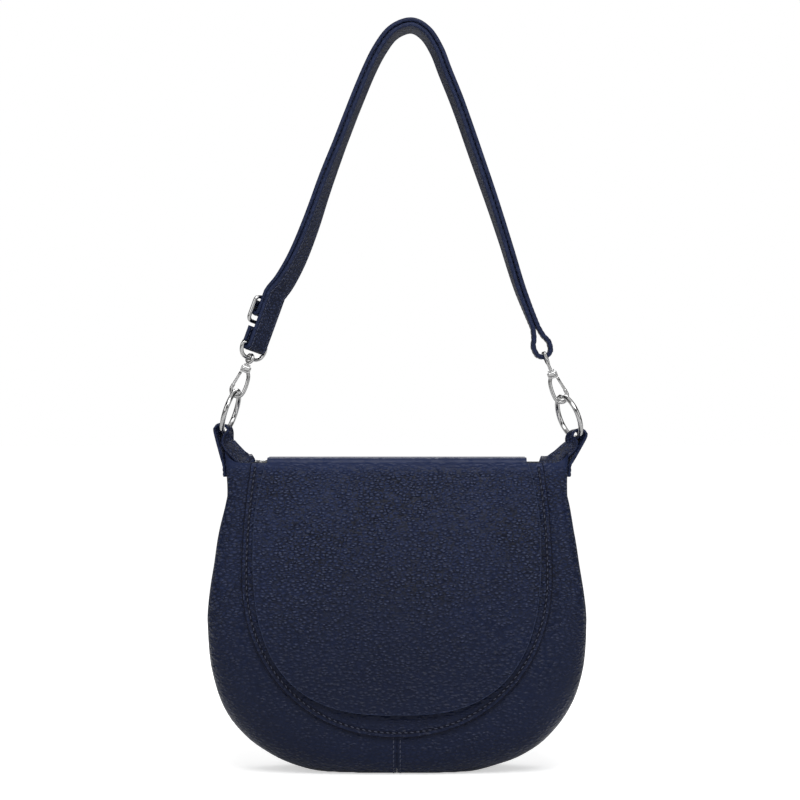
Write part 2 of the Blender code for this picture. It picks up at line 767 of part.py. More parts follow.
def buckle():
    half = D_HALF_WIDTH
    points = []
    for sign_w, sign_t in ((1, 1), (-1, 1), (-1, -1), (1, -1)):
        for share in (0, 1 / 2, 1):
            turn = math.pi / 2 * (share if sign_w * sign_t > 0 else 1 - share)
            w = half - BUCKLE_CORNER * (1 - math.cos(turn))
            t = BUCKLE_HALF_LENGTH - BUCKLE_CORNER * (1 - math.sin(turn))
            points.append(BUCKLE + TAIL_ACROSS * w * sign_w + TAIL_UP * t * sign_t)
    wire("buckle_frame", points, BUCKLE_WIRE, chrome(), closed=True)
    reach = TAIL_ACROSS * (half - BUCKLE_WIRE - FIT)
    wire("buckle_bar", [BUCKLE - reach, BUCKLE + reach], BUCKLE_WIRE, chrome())


def ring_frame(sign, x, z, lean, yaw):
    """Centre, long direction and normal of one round ring."""
    along = leaning(-sign * lean)
    outward = sign * along.cross(-ACROSS).normalized()
    if outward.x * sign < 0:
        outward.negate()
    angle = math.radians(yaw)
    near = -ACROSS * math.cos(angle) + outward * math.sin(angle)
    return Vector((x, 0, z)), along, along.cross(near).normalized()


RINGS = {"left": ring_frame(-1, LEFT_RING_X, LEFT_RING_Z, LEFT_RING_LEAN, LEFT_RING_YAW),
         "right": ring_frame(1, RIGHT_RING_X, RIGHT_RING_Z, RIGHT_RING_LEAN,
                             RIGHT_RING_YAW)}


TAB_SHARES = {"left": LEFT_TAB_SHARES, "right": RIGHT_TAB_SHARES}


def ring(side):
    centre, along, normal = RINGS[side]
    bpy.ops.mesh.primitive_torus_add(major_segments=32, minor_segments=8,
                                     major_radius=RING_RADIUS, minor_radius=RING_WIRE)
    thing = bpy.context.object
    mesh = thing.data
    bpy.data.objects.remove(thing, do_unlink=True)
    mesh.transform(Matrix.Translation(centre) @ normal.to_track_quat("Z", "Y").to_matrix().to_4x4())
    mesh.shade_smooth()
    mesh.name = f"ring_{side}"
    add_object(f"ring_{side}", mesh, chrome(), centre)


def tab(side, sign):
    """A leather strip from the gusset over the ring's foot, twisting to the top edge."""
    centre, along, normal = RINGS[side]
    foot = centre - along * RING_RADIUS
    loop = foot + along * RING_WIRE / 2
    radius = RING_WIRE + TAB_LOOP_ROOM + TAB_LEATHER / 2
    wall = SIDE.high(TOP_Z) + 2 * FIT + TAB_LEATHER / 2
    places = [Vector((sign * wall, 0, TAB_FOOT_Z + TAB_HOLD * share)) for share in (0, 1 / 2, 1)]
    over = fold(loop, Vector((sign, 0, 0)), UP, radius)[:-1]
    places += [places[-1].lerp(over[0], TAB_LEAN_SHARE)] + over
    turns = list(HELD_TURNS + OVER_TURNS)
    for inward, rise, forward, turn in TAB_SHARES[side]:
        places.append(foot + Vector((-sign * inward, -forward, rise)) * TAB_UNIT)
        turns.append(turn)
    line = smooth_path(places, TAB_STEPS)
    angles = smooth_path([Vector((turn, 0, 0)) for turn in turns], TAB_STEPS)
    stations = []
    last = len(line) - 1
    for i, (point, angle) in enumerate(zip(line, angles)):
        tangent = (line[min(i + 1, last)] - line[max(i - 1, 0)]).normalized()
        turn = math.radians(angle.x)
        across = ACROSS * math.cos(turn) + ACROSS.cross(tangent) * (sign * math.sin(turn))
        stations.append((point, (across - tangent * across.dot(tangent)).normalized()))
    ribbon(f"ring_tab_{side}", stations, TAB_WIDTH, TAB_LEATHER, leather())


def hook_frame(side):
    """The foot of the hook's axis in its ring, its up and spine directions, its reach."""
    centre, along, normal = RINGS[side]
    foot = centre + along * RING_RADIUS
    eye = D_BAR - TAIL_UP * D_DEPTH if side == "left" else WIDE_EYE_BAR
    up = (eye - foot).normalized()
    spine = ACROSS.cross(up) if side == "left" else up.cross(ACROSS)
    return foot, up, spine, eye


def hook(side):
    foot, up, spine, eye = hook_frame(side)
    path = [foot + (spine * u + up * v) * HOOK_LENGTH for u, v in HOOK_PATH_SHARES]
    body = wire(f"hook_{side}", smooth_path(path, 2), HOOK_WIRE, chrome())
    turn = Matrix((spine, ACROSS, up)).transposed()
    if turn.determinant() < 0:
        turn = Matrix((-spine, ACROSS, up)).transposed()
    middle = foot + up * (HOOK_LENGTH * HOOK_PATH_SHARES[-1][1])
    head = block(f"head_{side}", (HEAD_WIDTH, HEAD_DEPTH, HEAD_HEIGHT), (0, 0, 0), chrome(),
                 HEAD_HEIGHT / 6)
    head.matrix_world = Matrix.Translation(middle) @ turn.to_4x4()
    union(body, head)
    top = foot + (spine * GATE_TOP_SHARES[0] + up * GATE_TOP_SHARES[1]) * HOOK_LENGTH
    low = foot + (spine * GATE_FOOT_SHARES[0] + up * GATE_FOOT_SHARES[1]) * HOOK_LENGTH
    wire(f"gate_{side}", [low, top], GATE_WIRE, chrome(), origin=top)


def hook_eye(side):
    """The swivel: an eye on a post whose collar sits on the hook's head."""
    foot, up, spine, eye = hook_frame(side)
    base = foot + up * (HOOK_LENGTH * HOOK_PATH_SHARES[-1][1] + HEAD_HEIGHT / 2 + FIT)
    if side == "left":
        side_way = (TAIL_ACROSS - up * TAIL_ACROSS.dot(up)).normalized()
        loop_way = side_way.cross(up)
        points = []
        for i in range(ROUND_SIDES // 2):
            angle = 2 * math.pi * i / (ROUND_SIDES // 2)
            points.append(eye + (loop_way * math.cos(angle) + up * math.sin(angle))
                          * SMALL_EYE_RADIUS)
        post_top = eye - up * SMALL_EYE_RADIUS
    else:
        points = [eye + ACROSS * WIDE_EYE_HALF * w - up * WIDE_EYE_DEPTH * t
                  for w, t in WIDE_EYE_SHARES]
        post_top = eye - up * WIDE_EYE_DEPTH
    loop = wire(f"hook_eye_{side}", points, EYE_WIRE, chrome(), closed=True)
    post = wire(f"post_{side}", [base + up * FIT, post_top], POST_RADIUS, chrome())
    collar = wire(f"collar_{side}", [base, base + up * COLLAR_HEIGHT], COLLAR_RADIUS, chrome())
    union(loop, post)
    union(loop, collar)


def build():
    clear_scene()
    for name in ("crossbody_bag", "cutters"):
        collection = bpy.data.collections.new(name)
        bpy.context.scene.collection.children.link(collection)
    front_panel()
    back_panel()
    gusset("gusset_left", -1)
    gusset("gusset_right", 1)
    base_board()
    lining()
    flap()
    snap()
    zip_side("front", -1)
    zip_side("back", 1)
    zip_end("left", -1)
    zip_end("right", 1)
    zip_slider()
    strap()
    d_ring()
    buckle()
    for side, sign in (("left", -1), ("right", 1)):
        ring(side)
        tab(side, sign)
        hook(side)
        hook_eye(side)


build()
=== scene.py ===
"""The looks of a navy leather crossbody bag: pebbled leather, tonal stitching, painted
edges and polished hardware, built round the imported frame. Lengths are in metres."""

import random
from math import (asin, atan2, copysign, cos, dist, exp, hypot, pi, radians, sin,
                  sqrt)

import bmesh
import bpy
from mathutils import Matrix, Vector, noise


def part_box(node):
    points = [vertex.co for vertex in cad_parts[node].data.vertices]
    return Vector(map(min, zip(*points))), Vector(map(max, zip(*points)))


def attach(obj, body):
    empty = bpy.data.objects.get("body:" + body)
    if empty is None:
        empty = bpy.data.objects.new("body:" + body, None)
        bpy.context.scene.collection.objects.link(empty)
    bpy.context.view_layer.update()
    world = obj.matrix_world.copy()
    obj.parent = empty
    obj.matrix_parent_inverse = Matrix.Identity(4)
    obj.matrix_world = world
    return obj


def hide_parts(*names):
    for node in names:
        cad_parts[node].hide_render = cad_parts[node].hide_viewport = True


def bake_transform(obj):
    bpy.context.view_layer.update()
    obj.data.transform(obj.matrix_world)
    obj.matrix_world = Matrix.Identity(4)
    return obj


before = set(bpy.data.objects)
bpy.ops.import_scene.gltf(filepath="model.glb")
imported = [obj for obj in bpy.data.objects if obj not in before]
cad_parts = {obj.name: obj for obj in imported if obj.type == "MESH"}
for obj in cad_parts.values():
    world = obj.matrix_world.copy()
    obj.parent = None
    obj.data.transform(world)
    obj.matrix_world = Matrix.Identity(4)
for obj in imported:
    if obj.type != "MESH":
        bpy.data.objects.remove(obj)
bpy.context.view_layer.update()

# Shell, with the sizes of its solids but a thinner flap
TOP_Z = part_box("front_panel")[1][2]
LEATHER = 0.0022
GUSSET_LEATHER = 0.0020
CLEARANCE = 0.0004
FIT = 0.0003
FLANGE = 0.007
BASE_SINK = 0.006
TOP_HALF_DEPTH = 0.016
DEPTH_GROWTH = 0.030
DEPTH_EASE = 1.6
CROWN = 0.006
SIDE_FORWARD = 0.008
SIDE_ROUND = 2.8
SEAM_HALF_GAP = 0.0005
FLAP_LEATHER = 0.0017
FLAP_TOP_GAP = 0.0008
FLAP_FREE_GAP = 0.0034
FLAP_BEND = 0.0055
FLAP_LIFT = 0.0030
FLAP_TAIL = 0.034
HINGE_Y = 0.013

# Strap and hardware, with the sizes of their solids but a lower top, and tabs that end
# higher and loop tighter
STRAP_WIDTH = 0.020
STRAP_LEATHER = 0.0034
STRAP_LAYER_GAP = 0.0006
STRAP_HALF_SPAN = 0.115
STRAP_TOP = 0.6080
LEFT_LEG_SHARES = ((-0.795, 0.0548), (-0.705, 0.1432), (-0.612, 0.2648), (-0.510, 0.4196),
                   (-0.404, 0.5661), (-0.295, 0.7126), (-0.200, 0.8314), (-0.118, 0.9143),
                   (-0.025, 0.9751))
RIGHT_LEG_SHARES = ((0.100, 1.0000), (0.205, 0.9710), (0.285, 0.9060), (0.345, 0.8259),
                    (0.440, 0.7015), (0.568, 0.5108), (0.680, 0.3422), (0.775, 0.1902),
                    (0.862, 0.0437), (0.925, -0.0447))
TAIL_TWIST = 45.0
LEG_TWIST = 13.0
LEG_STEPS = 9
BLEND_SPANS = 5
FOLD_STEPS = 16
D_BAR_X = -0.1165
D_BAR_Z = 0.3460
D_WIRE = 0.0016
D_HALF_WIDTH = 0.0130
D_POWER = 2.8
D_DEPTH = 0.0115
TAIL_LEAN = 20.0
SEWN_END = 0.014
BUCKLE_RISE = 0.0285
BUCKLE_HALF_LENGTH = 0.0105
BUCKLE_WIRE = 0.0016
BUCKLE_CORNER = 0.0040
FOLD_END = 0.0070
TAIL_REACH = 0.0450
LOOP_X = 0.1190
LOOP_Z = 0.3435
LOOP_LEAN = 18.4
LOOP_HALF_WIDTH = 0.0065
LOOP_DROP = 0.0073
LOOP_NECK = 0.0180
LOOP_SHARES = ((0.55, 0.60), (0.22, 1.00), (-0.10, 0.97))
EYE_WIRE = 0.0013
RING_RADIUS = 0.018
RING_WIRE = 0.0020
RING_PLACES = {"left": (-1, -0.1363, 0.2917, 18.0, 10.0),
               "right": (1, 0.1409, 0.2873, 21.0, 21.0)}
TAB_WIDTH = 0.012
TAB_LEATHER = 0.0024
TAB_LOOP_ROOM = 0.0017
TAB_FOOT_Z = 0.2385
TAB_HOLD = 0.0100
HOOK_WIRE = 0.0016
HOOK_LENGTH = 0.022
HOOK_PATH_SHARES = ((-0.225, 0.155), (-0.235, 0.000), (-0.150, -0.170), (0.000, -0.215),
                    (0.160, -0.145), (0.235, 0.040), (0.240, 0.360), (0.190, 0.640),
                    (0.060, 0.860))
GATE_WIRE = 0.0012
GATE_TOP_SHARES = (-0.130, 0.722)
GATE_FOOT_SHARES = (-0.222, 0.200)
HEAD_WIDTH = 0.0080
HEAD_DEPTH = 0.0050
HEAD_HEIGHT = 0.0056
POST_RADIUS = 0.0014
COLLAR_RADIUS = 0.0027
COLLAR_HEIGHT = 0.0014
SMALL_EYE_RADIUS = 0.0034
WIDE_EYE_HALF = 0.0125
WIDE_EYE_DEPTH = 0.0092
WIDE_EYE_SHARES = ((0.94, 0.00), (-0.94, 0.00), (-1.00, 0.08), (-1.00, 0.60), (-0.50, 1.00),
                   (0.50, 1.00), (1.00, 0.60), (1.00, 0.08))

# Fineness
LOW_ROWS = 46
HIGH_ROWS = 28
PANEL_COLUMNS = 56
PANEL_ROWS = 84
GUSSET_STEPS = 16

UP = Vector((0, 0, 1))
ACROSS = Vector((0, 1, 0))
AXES = (Vector((1, 0, 0)), ACROSS, UP)
LAYER_OFFSET = (STRAP_LEATHER + STRAP_LAYER_GAP) / 2


class Tree:
    """Short calls for building the node tree of a material or the world."""

    def __init__(self, owner, shader="Principled BSDF"):
        self.owner = owner
        owner.use_nodes = True
        self.nodes = owner.node_tree.nodes
        self.links = owner.node_tree.links
        self.shader = self.nodes[shader]

    def put(self, node, inputs):
        for name, value in inputs.items():
            socket = node.inputs[name]
            if isinstance(value, bpy.types.NodeSocket):
                self.links.new(value, socket)
            else:
                socket.default_value = value
        return node

    def add(self, kind, inputs=None, **settings):
        node = self.nodes.new("ShaderNode" + kind)
        for name, value in settings.items():
            setattr(node, name, value)
        return self.put(node, inputs or {})

    def math(self, operation, a, b=0.0, clamp=False):
        return self.add("Math", {0: a, 1: b}, operation=operation, use_clamp=clamp).outputs[0]

    def spread(self, value, low, high, to_low=0.0, to_high=1.0):
        node = self.add("MapRange", {"Value": value, "From Min": low, "From Max": high,
                                     "To Min": to_low, "To Max": to_high},
                        interpolation_type="SMOOTHSTEP")
        return node.outputs["Result"]

    def mix(self, share, a, b):
        return self.add("Mix", {0: share, 6: a, 7: b}, data_type="RGBA").outputs[2]

    def noise(self, vector, scale, detail=3.0, roughness=0.5):
        node = self.add("TexNoise", {"Vector": vector, "Scale": scale, "Detail": detail,
                                     "Roughness": roughness})
        return node.outputs["Fac"]

    def cells(self, feature, vector, scale, randomness, **more):
        node = self.add("TexVoronoi", {"Vector": vector, "Scale": scale,
                                       "Randomness": randomness, **more}, feature=feature)
        return node.outputs["Distance"]

    def bump(self, height, strength, distance, **more):
        node = self.add("Bump", {"Height": height, "Strength": strength, "Distance": distance,
                                 **more})
        return node.outputs["Normal"]

    def place(self):
        return self.add("TexCoord").outputs["Object"]

    def finish(self, looks):
        self.put(self.shader, looks)
        return self.owner


def new_tree(name):
    tree = Tree(bpy.data.materials.new(name))
    return tree, tree.place()


def tinted(colour, factor):
    return tuple(c * factor for c in colour[:3]) + (1.0,)


NAVY = (0.0075, 0.0130, 0.0410, 1.0)
# Lighter navy for the painted highlight on the grain's tops; darker navy for painted shade in its
# creases
NAVY_HIGHLIGHT_PAINT = (0.0900, 0.1080, 0.1900, 1.0)
NAVY_SHADE_PAINT = (0.0018, 0.0034, 0.0120, 1.0)
# Near-black edge paint, dark enough to also stand in for painted shade along the panels' edges
# and in the seam grooves
EDGE_PAINT_AND_SHADE = (0.0020, 0.0030, 0.0100, 1.0)
# Light navy on the flap's rim: edge paint with a painted highlight line along the flap's edge
FLAP_PAINT_AND_HIGHLIGHT = (0.0240, 0.0330, 0.0700, 1.0)
STRAP_PAINT = (0.0100, 0.0150, 0.0400, 1.0)
THREAD_BLUE = (0.060, 0.070, 0.120, 1.0)
STEEL = (0.56, 0.56, 0.56, 1.0)


def leather_material(name, cell=0.0043, depth=0.0024, stretch=1.9, deep=0.3,
                     smooth_ends=True, roughness=0.34, lift=1.0, painted_glints=0.66):
    """Pebbled leather: rounded cells between creases, tone shifts, a soft sheen, painted
    highlight on cell tops and painted shade in creases.
    """
    tree, place = new_tree(name)
    warp = tree.add("TexNoise", {"Vector": place, "Scale": 90.0, "Detail": 2.0})
    pushed = tree.add("VectorMath", {0: warp.outputs["Color"], 1: (0.0030, 0.0030, 0.0030),
                                     2: place}, operation="MULTIPLY_ADD")
    squeezed = tree.add("Mapping", {"Vector": pushed.outputs[0],
                                    "Scale": (1.0, deep, stretch)}).outputs[0]
    cells = tree.cells("SMOOTH_F1", squeezed, 1.0 / cell, 0.95, Smoothness=0.35)
    fine = tree.cells("F1", squeezed, 2.3 / cell, 1.0)
    edges = tree.cells("DISTANCE_TO_EDGE", squeezed, 1.0 / cell, 0.95)
    dome = tree.spread(cells, 0.02, 0.62, 1.0, 0.0)
    crease = tree.spread(edges, 0.0, 0.20)
    small = tree.spread(fine, 0.0, 0.8, 1.0, 0.0)
    height = tree.math("ADD", dome, tree.math("MULTIPLY", small, 0.10))
    amount = tree.spread(tree.noise(place, 22.0, 4.0), 0.30, 0.70, 0.70, 1.0)
    base = tree.mix(tree.spread(tree.noise(place, 9.0, 5.0, 0.6), 0.3, 0.7),
                    tinted(NAVY, lift), tinted(NAVY, lift * 1.25))
    if smooth_ends:
        level = tree.add("SeparateXYZ", {"Vector": place}).outputs[2]
        top = tree.spread(level, TOP_Z - 0.012, TOP_Z + 0.001, 1.0, 0.12)
        foot = tree.spread(level, 0.045, 0.190, 0.45, 1.0)
        amount = tree.math("MULTIPLY", amount, tree.math("MULTIPLY", top, foot))
        # Painted light: the bag's upper part is painted lighter than its foot, as if lit from
        # above
        upper = tree.spread(level, 0.060, 0.220, 0.85, 1.45)
        base = tree.add("VectorMath", {0: base, "Scale": upper}, operation="SCALE").outputs[0]
    grain = tree.math("MULTIPLY", height, amount)
    bump = tree.bump(grain, 1.0, depth)
    pores = tree.bump(tree.noise(place, 1500.0, 2.0), 0.08, depth / 4, Normal=bump)
    # Painted highlight: the tops of the grain's cells are painted lighter
    highlight_share = tree.math("MULTIPLY", tree.spread(grain, 0.20, 0.85), painted_glints)
    raised = tree.mix(highlight_share, base, NAVY_HIGHLIGHT_PAINT)
    # Painted shade: the creases between the grain's cells are painted darker
    crease_shade_share = tree.math("MULTIPLY", tree.math("SUBTRACT", 1.0, crease), amount)
    colour = tree.mix(tree.math("MULTIPLY", crease_shade_share, 1.10, True), raised, NAVY_SHADE_PAINT)
    rough = tree.spread(tree.noise(place, 60.0), 0.3, 0.7, roughness - 0.05, roughness + 0.08)
    return tree.finish({"Base Color": colour, "Roughness": rough, "Normal": pores,
                        "Specular IOR Level": 0.18, "Sheen Weight": 0.02,
                        "Sheen Roughness": 0.5})


def edge_material(name, paint):
    """Painted cut edge, slightly shiny and uneven."""
    tree, place = new_tree(name)
    tone = tree.noise(place, 400.0)
    return tree.finish({
        "Base Color": tree.mix(tree.spread(tone, 0.3, 0.7), paint, tinted(paint, 1.8)),
        "Roughness": tree.spread(tone, 0.2, 0.8, 0.40, 0.58), "Specular IOR Level": 0.15,
        "Normal": tree.bump(tree.noise(place, 900.0), 0.4, 0.0002)})


def thread_material(name, colour):
    """Twisted thread."""
    tree, place = new_tree(name)
    twist = tree.add("TexWave", {"Vector": place, "Scale": 900.0, "Distortion": 1.0},
                     bands_direction="DIAGONAL").outputs["Fac"]
    return tree.finish({
        "Base Color": tree.mix(tree.math("MULTIPLY", twist, 0.6), colour, tinted(colour, 0.5)),
        "Normal": tree.bump(twist, 0.5, 0.0001), "Roughness": 0.6})


def chrome_material(name, colour, roughness=0.04):
    """Polished metal with faint handling marks."""
    tree, place = new_tree(name)
    marks = tree.noise(place, 700.0, 5.0, 0.7)
    return tree.finish({
        "Base Color": tree.mix(tree.spread(marks, 0.35, 0.75), colour, tinted(colour, 0.82)),
        "Roughness": tree.spread(marks, 0.3, 0.8, roughness, roughness + 0.06),
        "Metallic": 1.0, "Normal": tree.bump(tree.noise(place, 240.0), 0.05, 0.0002)})


def cloth_material(name, colour, pitch):
    """Woven cloth: two crossing sets of ribs."""
    tree, place = new_tree(name)
    ribs = [tree.add("TexWave", {"Vector": place, "Scale": 0.16 / pitch, "Distortion": 0.6},
                     bands_direction=direction).outputs["Fac"] for direction in ("X", "Z")]
    weave = tree.math("MULTIPLY", *ribs)
    base = tree.mix(tree.spread(tree.noise(place, 30.0, 4.0), 0.3, 0.7), colour,
                    tinted(colour, 1.4))
    return tree.finish({"Base Color": tree.mix(weave, tinted(colour, 0.4), base),
                        "Normal": tree.bump(weave, 0.6, 0.0002), "Roughness": 0.85,
                        "Sheen Weight": 0.2})


LEATHER_MAT = leather_material("pebbled_leather")
BORDER_MAT = leather_material("border_leather", depth=0.0018, deep=0.8, painted_glints=0.40)
INNER_MAT = leather_material("split_leather", cell=0.0016, depth=0.0002, smooth_ends=False,
                             roughness=0.75, lift=1.6, painted_glints=0.10)
STRAP_MAT = leather_material("strap_leather", cell=0.0026, depth=0.0005, stretch=1.2,
                             deep=1.0, smooth_ends=False, roughness=0.36, painted_glints=0.30)
# Panel and border rims: edge paint and painted shade at once
EDGE_MAT = edge_material("painted_edge", EDGE_PAINT_AND_SHADE)
FLAP_EDGE_MAT = edge_material("flap_edge_paint", FLAP_PAINT_AND_HIGHLIGHT)
STRAP_EDGE_MAT = edge_material("strap_edge_paint", STRAP_PAINT)
THREAD_MAT = thread_material("navy_thread", THREAD_BLUE)
CHROME_MAT = chrome_material("polished_steel", STEEL)
LINING_MAT = cloth_material("lining_twill", (0.022, 0.025, 0.050, 1.0), 0.0009)
TAPE_MAT = cloth_material("zip_tape_weave", (0.012, 0.014, 0.028, 1.0), 0.0006)
BOARD_MAT = cloth_material("board_fibre", (0.075, 0.068, 0.060, 1.0), 0.0013)


# Shared shapes
def turns(count, start=0.0):
    """Angles of even steps round a circle."""
    return [2 * pi * (k + start) / count for k in range(count)]


def steps_to(count, first=0):
    """Even shares up to 1, from 0 or from the first step."""
    return [i / count for i in range(first, count + 1)]


def circle(centre, a, b, count):
    """Points round a centre, from a towards b."""
    return [centre + a * cos(turn) + b * sin(turn) for turn in turns(count)]


def rounded(share, power):
    """A cosine or sine raised to a power, with its sign kept."""
    return copysign(abs(share) ** power, share)


def shared(value, low, high):
    """How far a value is from low to high, held between 0 and 1."""
    return min(max((value - low) / (high - low), 0.0), 1.0)


def tangent_at(points, i):
    last = len(points) - 1
    return (points[min(i + 1, last)] - points[max(i - 1, 0)]).normalized()


def smooth(mesh, sharp):
    mesh.shade_smooth()
    mesh.set_sharp_from_angle(angle=radians(sharp))
    return mesh


def facing_out(mesh, sharp):
    """A closed mesh with its faces turned outward."""
    fixed = bmesh.new()
    fixed.from_mesh(mesh)
    bmesh.ops.recalc_face_normals(fixed, faces=fixed.faces)
    fixed.to_mesh(mesh)
    fixed.free()
    return smooth(mesh, sharp)


def smooth_mesh(name, rows, closed=False, cap_first=False, cap_last=False, sharp=50):
    """A sheet of quads through rows of points; closed joins each row's two ends."""
    mesh = bmesh.new()
    lines = [[mesh.verts.new(point) for point in row] for row in rows]
    count = len(rows[0])
    for lower, upper in zip(lines, lines[1:]):
        for i in range(count if closed else count - 1):
            j = (i + 1) % count
            mesh.faces.new((lower[i], lower[j], upper[j], upper[i]))
    if cap_first:
        mesh.faces.new(list(reversed(lines[0])))
    if cap_last:
        mesh.faces.new(lines[-1])
    data = bpy.data.meshes.new(name)
    mesh.to_mesh(data)
    mesh.free()
    return smooth(data, sharp)


def place_mesh(mesh, *materials):
    for material in materials:
        mesh.materials.append(material)
    thing = bpy.data.objects.new(mesh.name, mesh)
    bpy.context.scene.collection.objects.link(thing)
    return thing


RIM_STEPS = 6


def thick(thing, thickness, offset, bulge=0.0005, inner_slot=0):
    """Leather of a real thickness with a rounded rim, which takes the next material."""
    sheet = bmesh.new()
    sheet.from_mesh(thing.data)
    sheet.normal_update()
    sheet.verts.index_update()
    outer = [v.co + v.normal * (thickness * (1 + offset) / 2) for v in sheet.verts]
    inner = [v.co + v.normal * (thickness * (offset - 1) / 2) for v in sheet.verts]
    count = len(outer)
    points = outer + inner
    faces = []
    slots = []
    for face in sheet.faces:
        loop = [v.index for v in face.verts]
        faces += [loop, [count + i for i in reversed(loop)]]
        slots += [0, inner_slot]
    away = {}
    rims = []
    for edge in sheet.edges:
        if len(edge.link_loops) != 1:
            continue
        loop = edge.link_loops[0]
        a, b = loop.vert, loop.link_loop_next.vert
        rims.append((a.index, b.index))
        out = (b.co - a.co).cross(a.normal + b.normal).normalized()
        for vert in (a, b):
            away[vert.index] = away.get(vert.index, Vector()) + out
    sheet.free()
    spans = RIM_STEPS if bulge else 1
    places = {}
    for i, out in away.items():
        middle = (outer[i] + inner[i]) / 2
        half = (outer[i] - inner[i]) / 2
        out = out.normalized() * bulge
        places[i] = [i]
        for step in range(1, spans):
            turn = pi * step / spans
            points.append(middle + half * cos(turn) + out * sin(turn))
            places[i].append(len(points) - 1)
        places[i].append(count + i)
    for a, b in rims:
        for step in range(spans):
            faces.append([places[b][step], places[a][step], places[a][step + 1],
                          places[b][step + 1]])
            slots.append(1)
    mesh = bpy.data.meshes.new(thing.name)
    mesh.from_pydata(points, [], faces)
    for material in thing.data.materials:
        mesh.materials.append(material)
    for face, slot in zip(mesh.polygons, slots):
        face.material_index = slot
    thing.data = smooth(mesh, 55)
    return thing


def finish_piece(thing, *nodes, body="shell", slot="navy_leather"):
    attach(thing, body)
    if nodes:
        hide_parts(*nodes)


def blend_piece(thing, slot, node, bodies, start, end):
    """Hides the CAD node that a piece stands for and bakes the piece's placement into its mesh.
    """
    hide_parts(node)
    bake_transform(thing)
    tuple(start)
    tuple(end)


def joined_mesh(name, parts):
    """One mesh from many, each given as points and faces."""
    points = []
    faces = []
    for more_points, more_faces in parts:
        start = len(points)
        points += more_points
        faces += [[start + i for i in face] for face in more_faces]
    mesh = bpy.data.meshes.new(name)
    mesh.from_pydata(points, [], faces)
    mesh.validate()
    return smooth(mesh, 60)


def ring_faces(rings, sides):
    """Faces of a closed form made of equal rings of points."""
    faces = []
    for a in range(0, (rings - 1) * sides, sides):
        for k in range(sides):
            j = (k + 1) % sides
            faces.append((a + k, a + j, a + sides + j, a + sides + k))
    last = (rings - 1) * sides
    return faces + [tuple(reversed(range(sides))), tuple(last + k for k in range(sides))]


BEAD = ((-0.50, 0.30), (-0.42, 0.72), (-0.25, 0.95), (0.0, 1.0), (0.25, 0.95), (0.42, 0.72),
        (0.50, 0.30))
BEAD_SIDES = 8


def bead_part(middle, along, normal, length, width, height):
    """A rounded bead, such as one stitch."""
    side = along.cross(normal).normalized() * (width / 2)
    points = []
    for share, size in BEAD:
        points += circle(middle + along * (length * share), side * size,
                         normal * (height / 2 * size), BEAD_SIDES)
    return points, ring_faces(len(BEAD), BEAD_SIDES)


def block_part(centre, size, edge, segments=3, axes=AXES):
    """A box with rounded edges, on its own three axes."""
    cube = bmesh.new()
    bmesh.ops.create_cube(cube, size=1)
    for vert in cube.verts:
        vert.co = Vector([c * s for c, s in zip(vert.co, size)])
    bmesh.ops.bevel(cube, geom=list(cube.edges), offset=edge, segments=segments,
                    profile=0.6, affect="EDGES")
    cube.verts.index_update()
    points = [centre + axes[0] * v.co.x + axes[1] * v.co.y + axes[2] * v.co.z
              for v in cube.verts]
    faces = [tuple(v.index for v in face.verts) for face in cube.faces]
    cube.free()
    return points, faces


def lathe_part(base, axis, profile, sides=20):
    """A turned form, from (height, radius) pairs along its axis."""
    axis = axis.normalized()
    side = axis.orthogonal().normalized()
    other = axis.cross(side)
    points = []
    for height, radius in profile:
        points += circle(base + axis * height, side * radius, other * radius, sides)
    return points, ring_faces(len(profile), sides)


def tube_part(points, radius, closed=False, sides=16, up=None):
    """A round wire through its points; radius may be one size or one for each point."""
    count = len(points)
    sizes = radius if isinstance(radius, list) else [radius] * count
    if closed:
        tangents = [(points[(i + 1) % count] - points[i - 1]).normalized()
                    for i in range(count)]
    else:
        tangents = [tangent_at(points, i) for i in range(count)]
    side = up.cross(tangents[0]).normalized() if up else tangents[0].orthogonal().normalized()
    verts = []
    for point, tangent, size in zip(points, tangents, sizes):
        side = (side - tangent * side.dot(tangent)).normalized()
        verts += circle(point, side * size, tangent.cross(side) * size, sides)
    twist = 0
    if closed:
        first = (side - tangents[0] * side.dot(tangents[0])).normalized()
        start = (verts[0] - points[0]).normalized()
        angle = atan2(tangents[0].dot(first.cross(start)), first.dot(start))
        twist = round(angle / (2 * pi) * sides)
    faces = []
    for i in range(count if closed else count - 1):
        a = i * sides
        b = ((i + 1) % count) * sides
        shift = -twist if closed and i == count - 1 else 0
        for k in range(sides):
            j = (k + 1) % sides
            faces.append((a + k, b + (k + shift) % sides, b + (j + shift) % sides, a + j))
    if not closed:
        last = (count - 1) * sides
        faces += [tuple(range(sides)), tuple(last + k for k in reversed(range(sides)))]
    return verts, faces


def metal(name, parts, body, node, slot="chrome"):
    thing = place_mesh(facing_out(joined_mesh(name, parts), 50), CHROME_MAT)
    finish_piece(thing, node, body=body, slot=slot)


def places_along(points, wanted):
    """The span, and the share of it, at each length that wanted(whole length) asks for."""
    lengths = [0.0]
    for a, b in zip(points, points[1:]):
        lengths.append(lengths[-1] + dist(a, b))
    k = 0
    for want in wanted(lengths[-1]):
        while k < len(lengths) - 2 and lengths[k + 1] < want:
            k += 1
        yield k, (want - lengths[k]) / max(lengths[k + 1] - lengths[k], 1e-9)


def resampled(path, pitch):
    """Evenly spaced places, directions and normals along a path of (place, normal)."""
    def middles(total):
        count = max(int(total / pitch), 1)
        return [total * (i + 0.5) / count for i in range(count)]

    for k, t in places_along([place for place, _ in path], middles):
        (a, na), (b, nb) = path[k], path[k + 1]
        yield a.lerp(b, t), (b - a).normalized(), na.lerp(nb, t).normalized()


STITCH_TILT = 9.0
STITCH_FLAT = 0.72


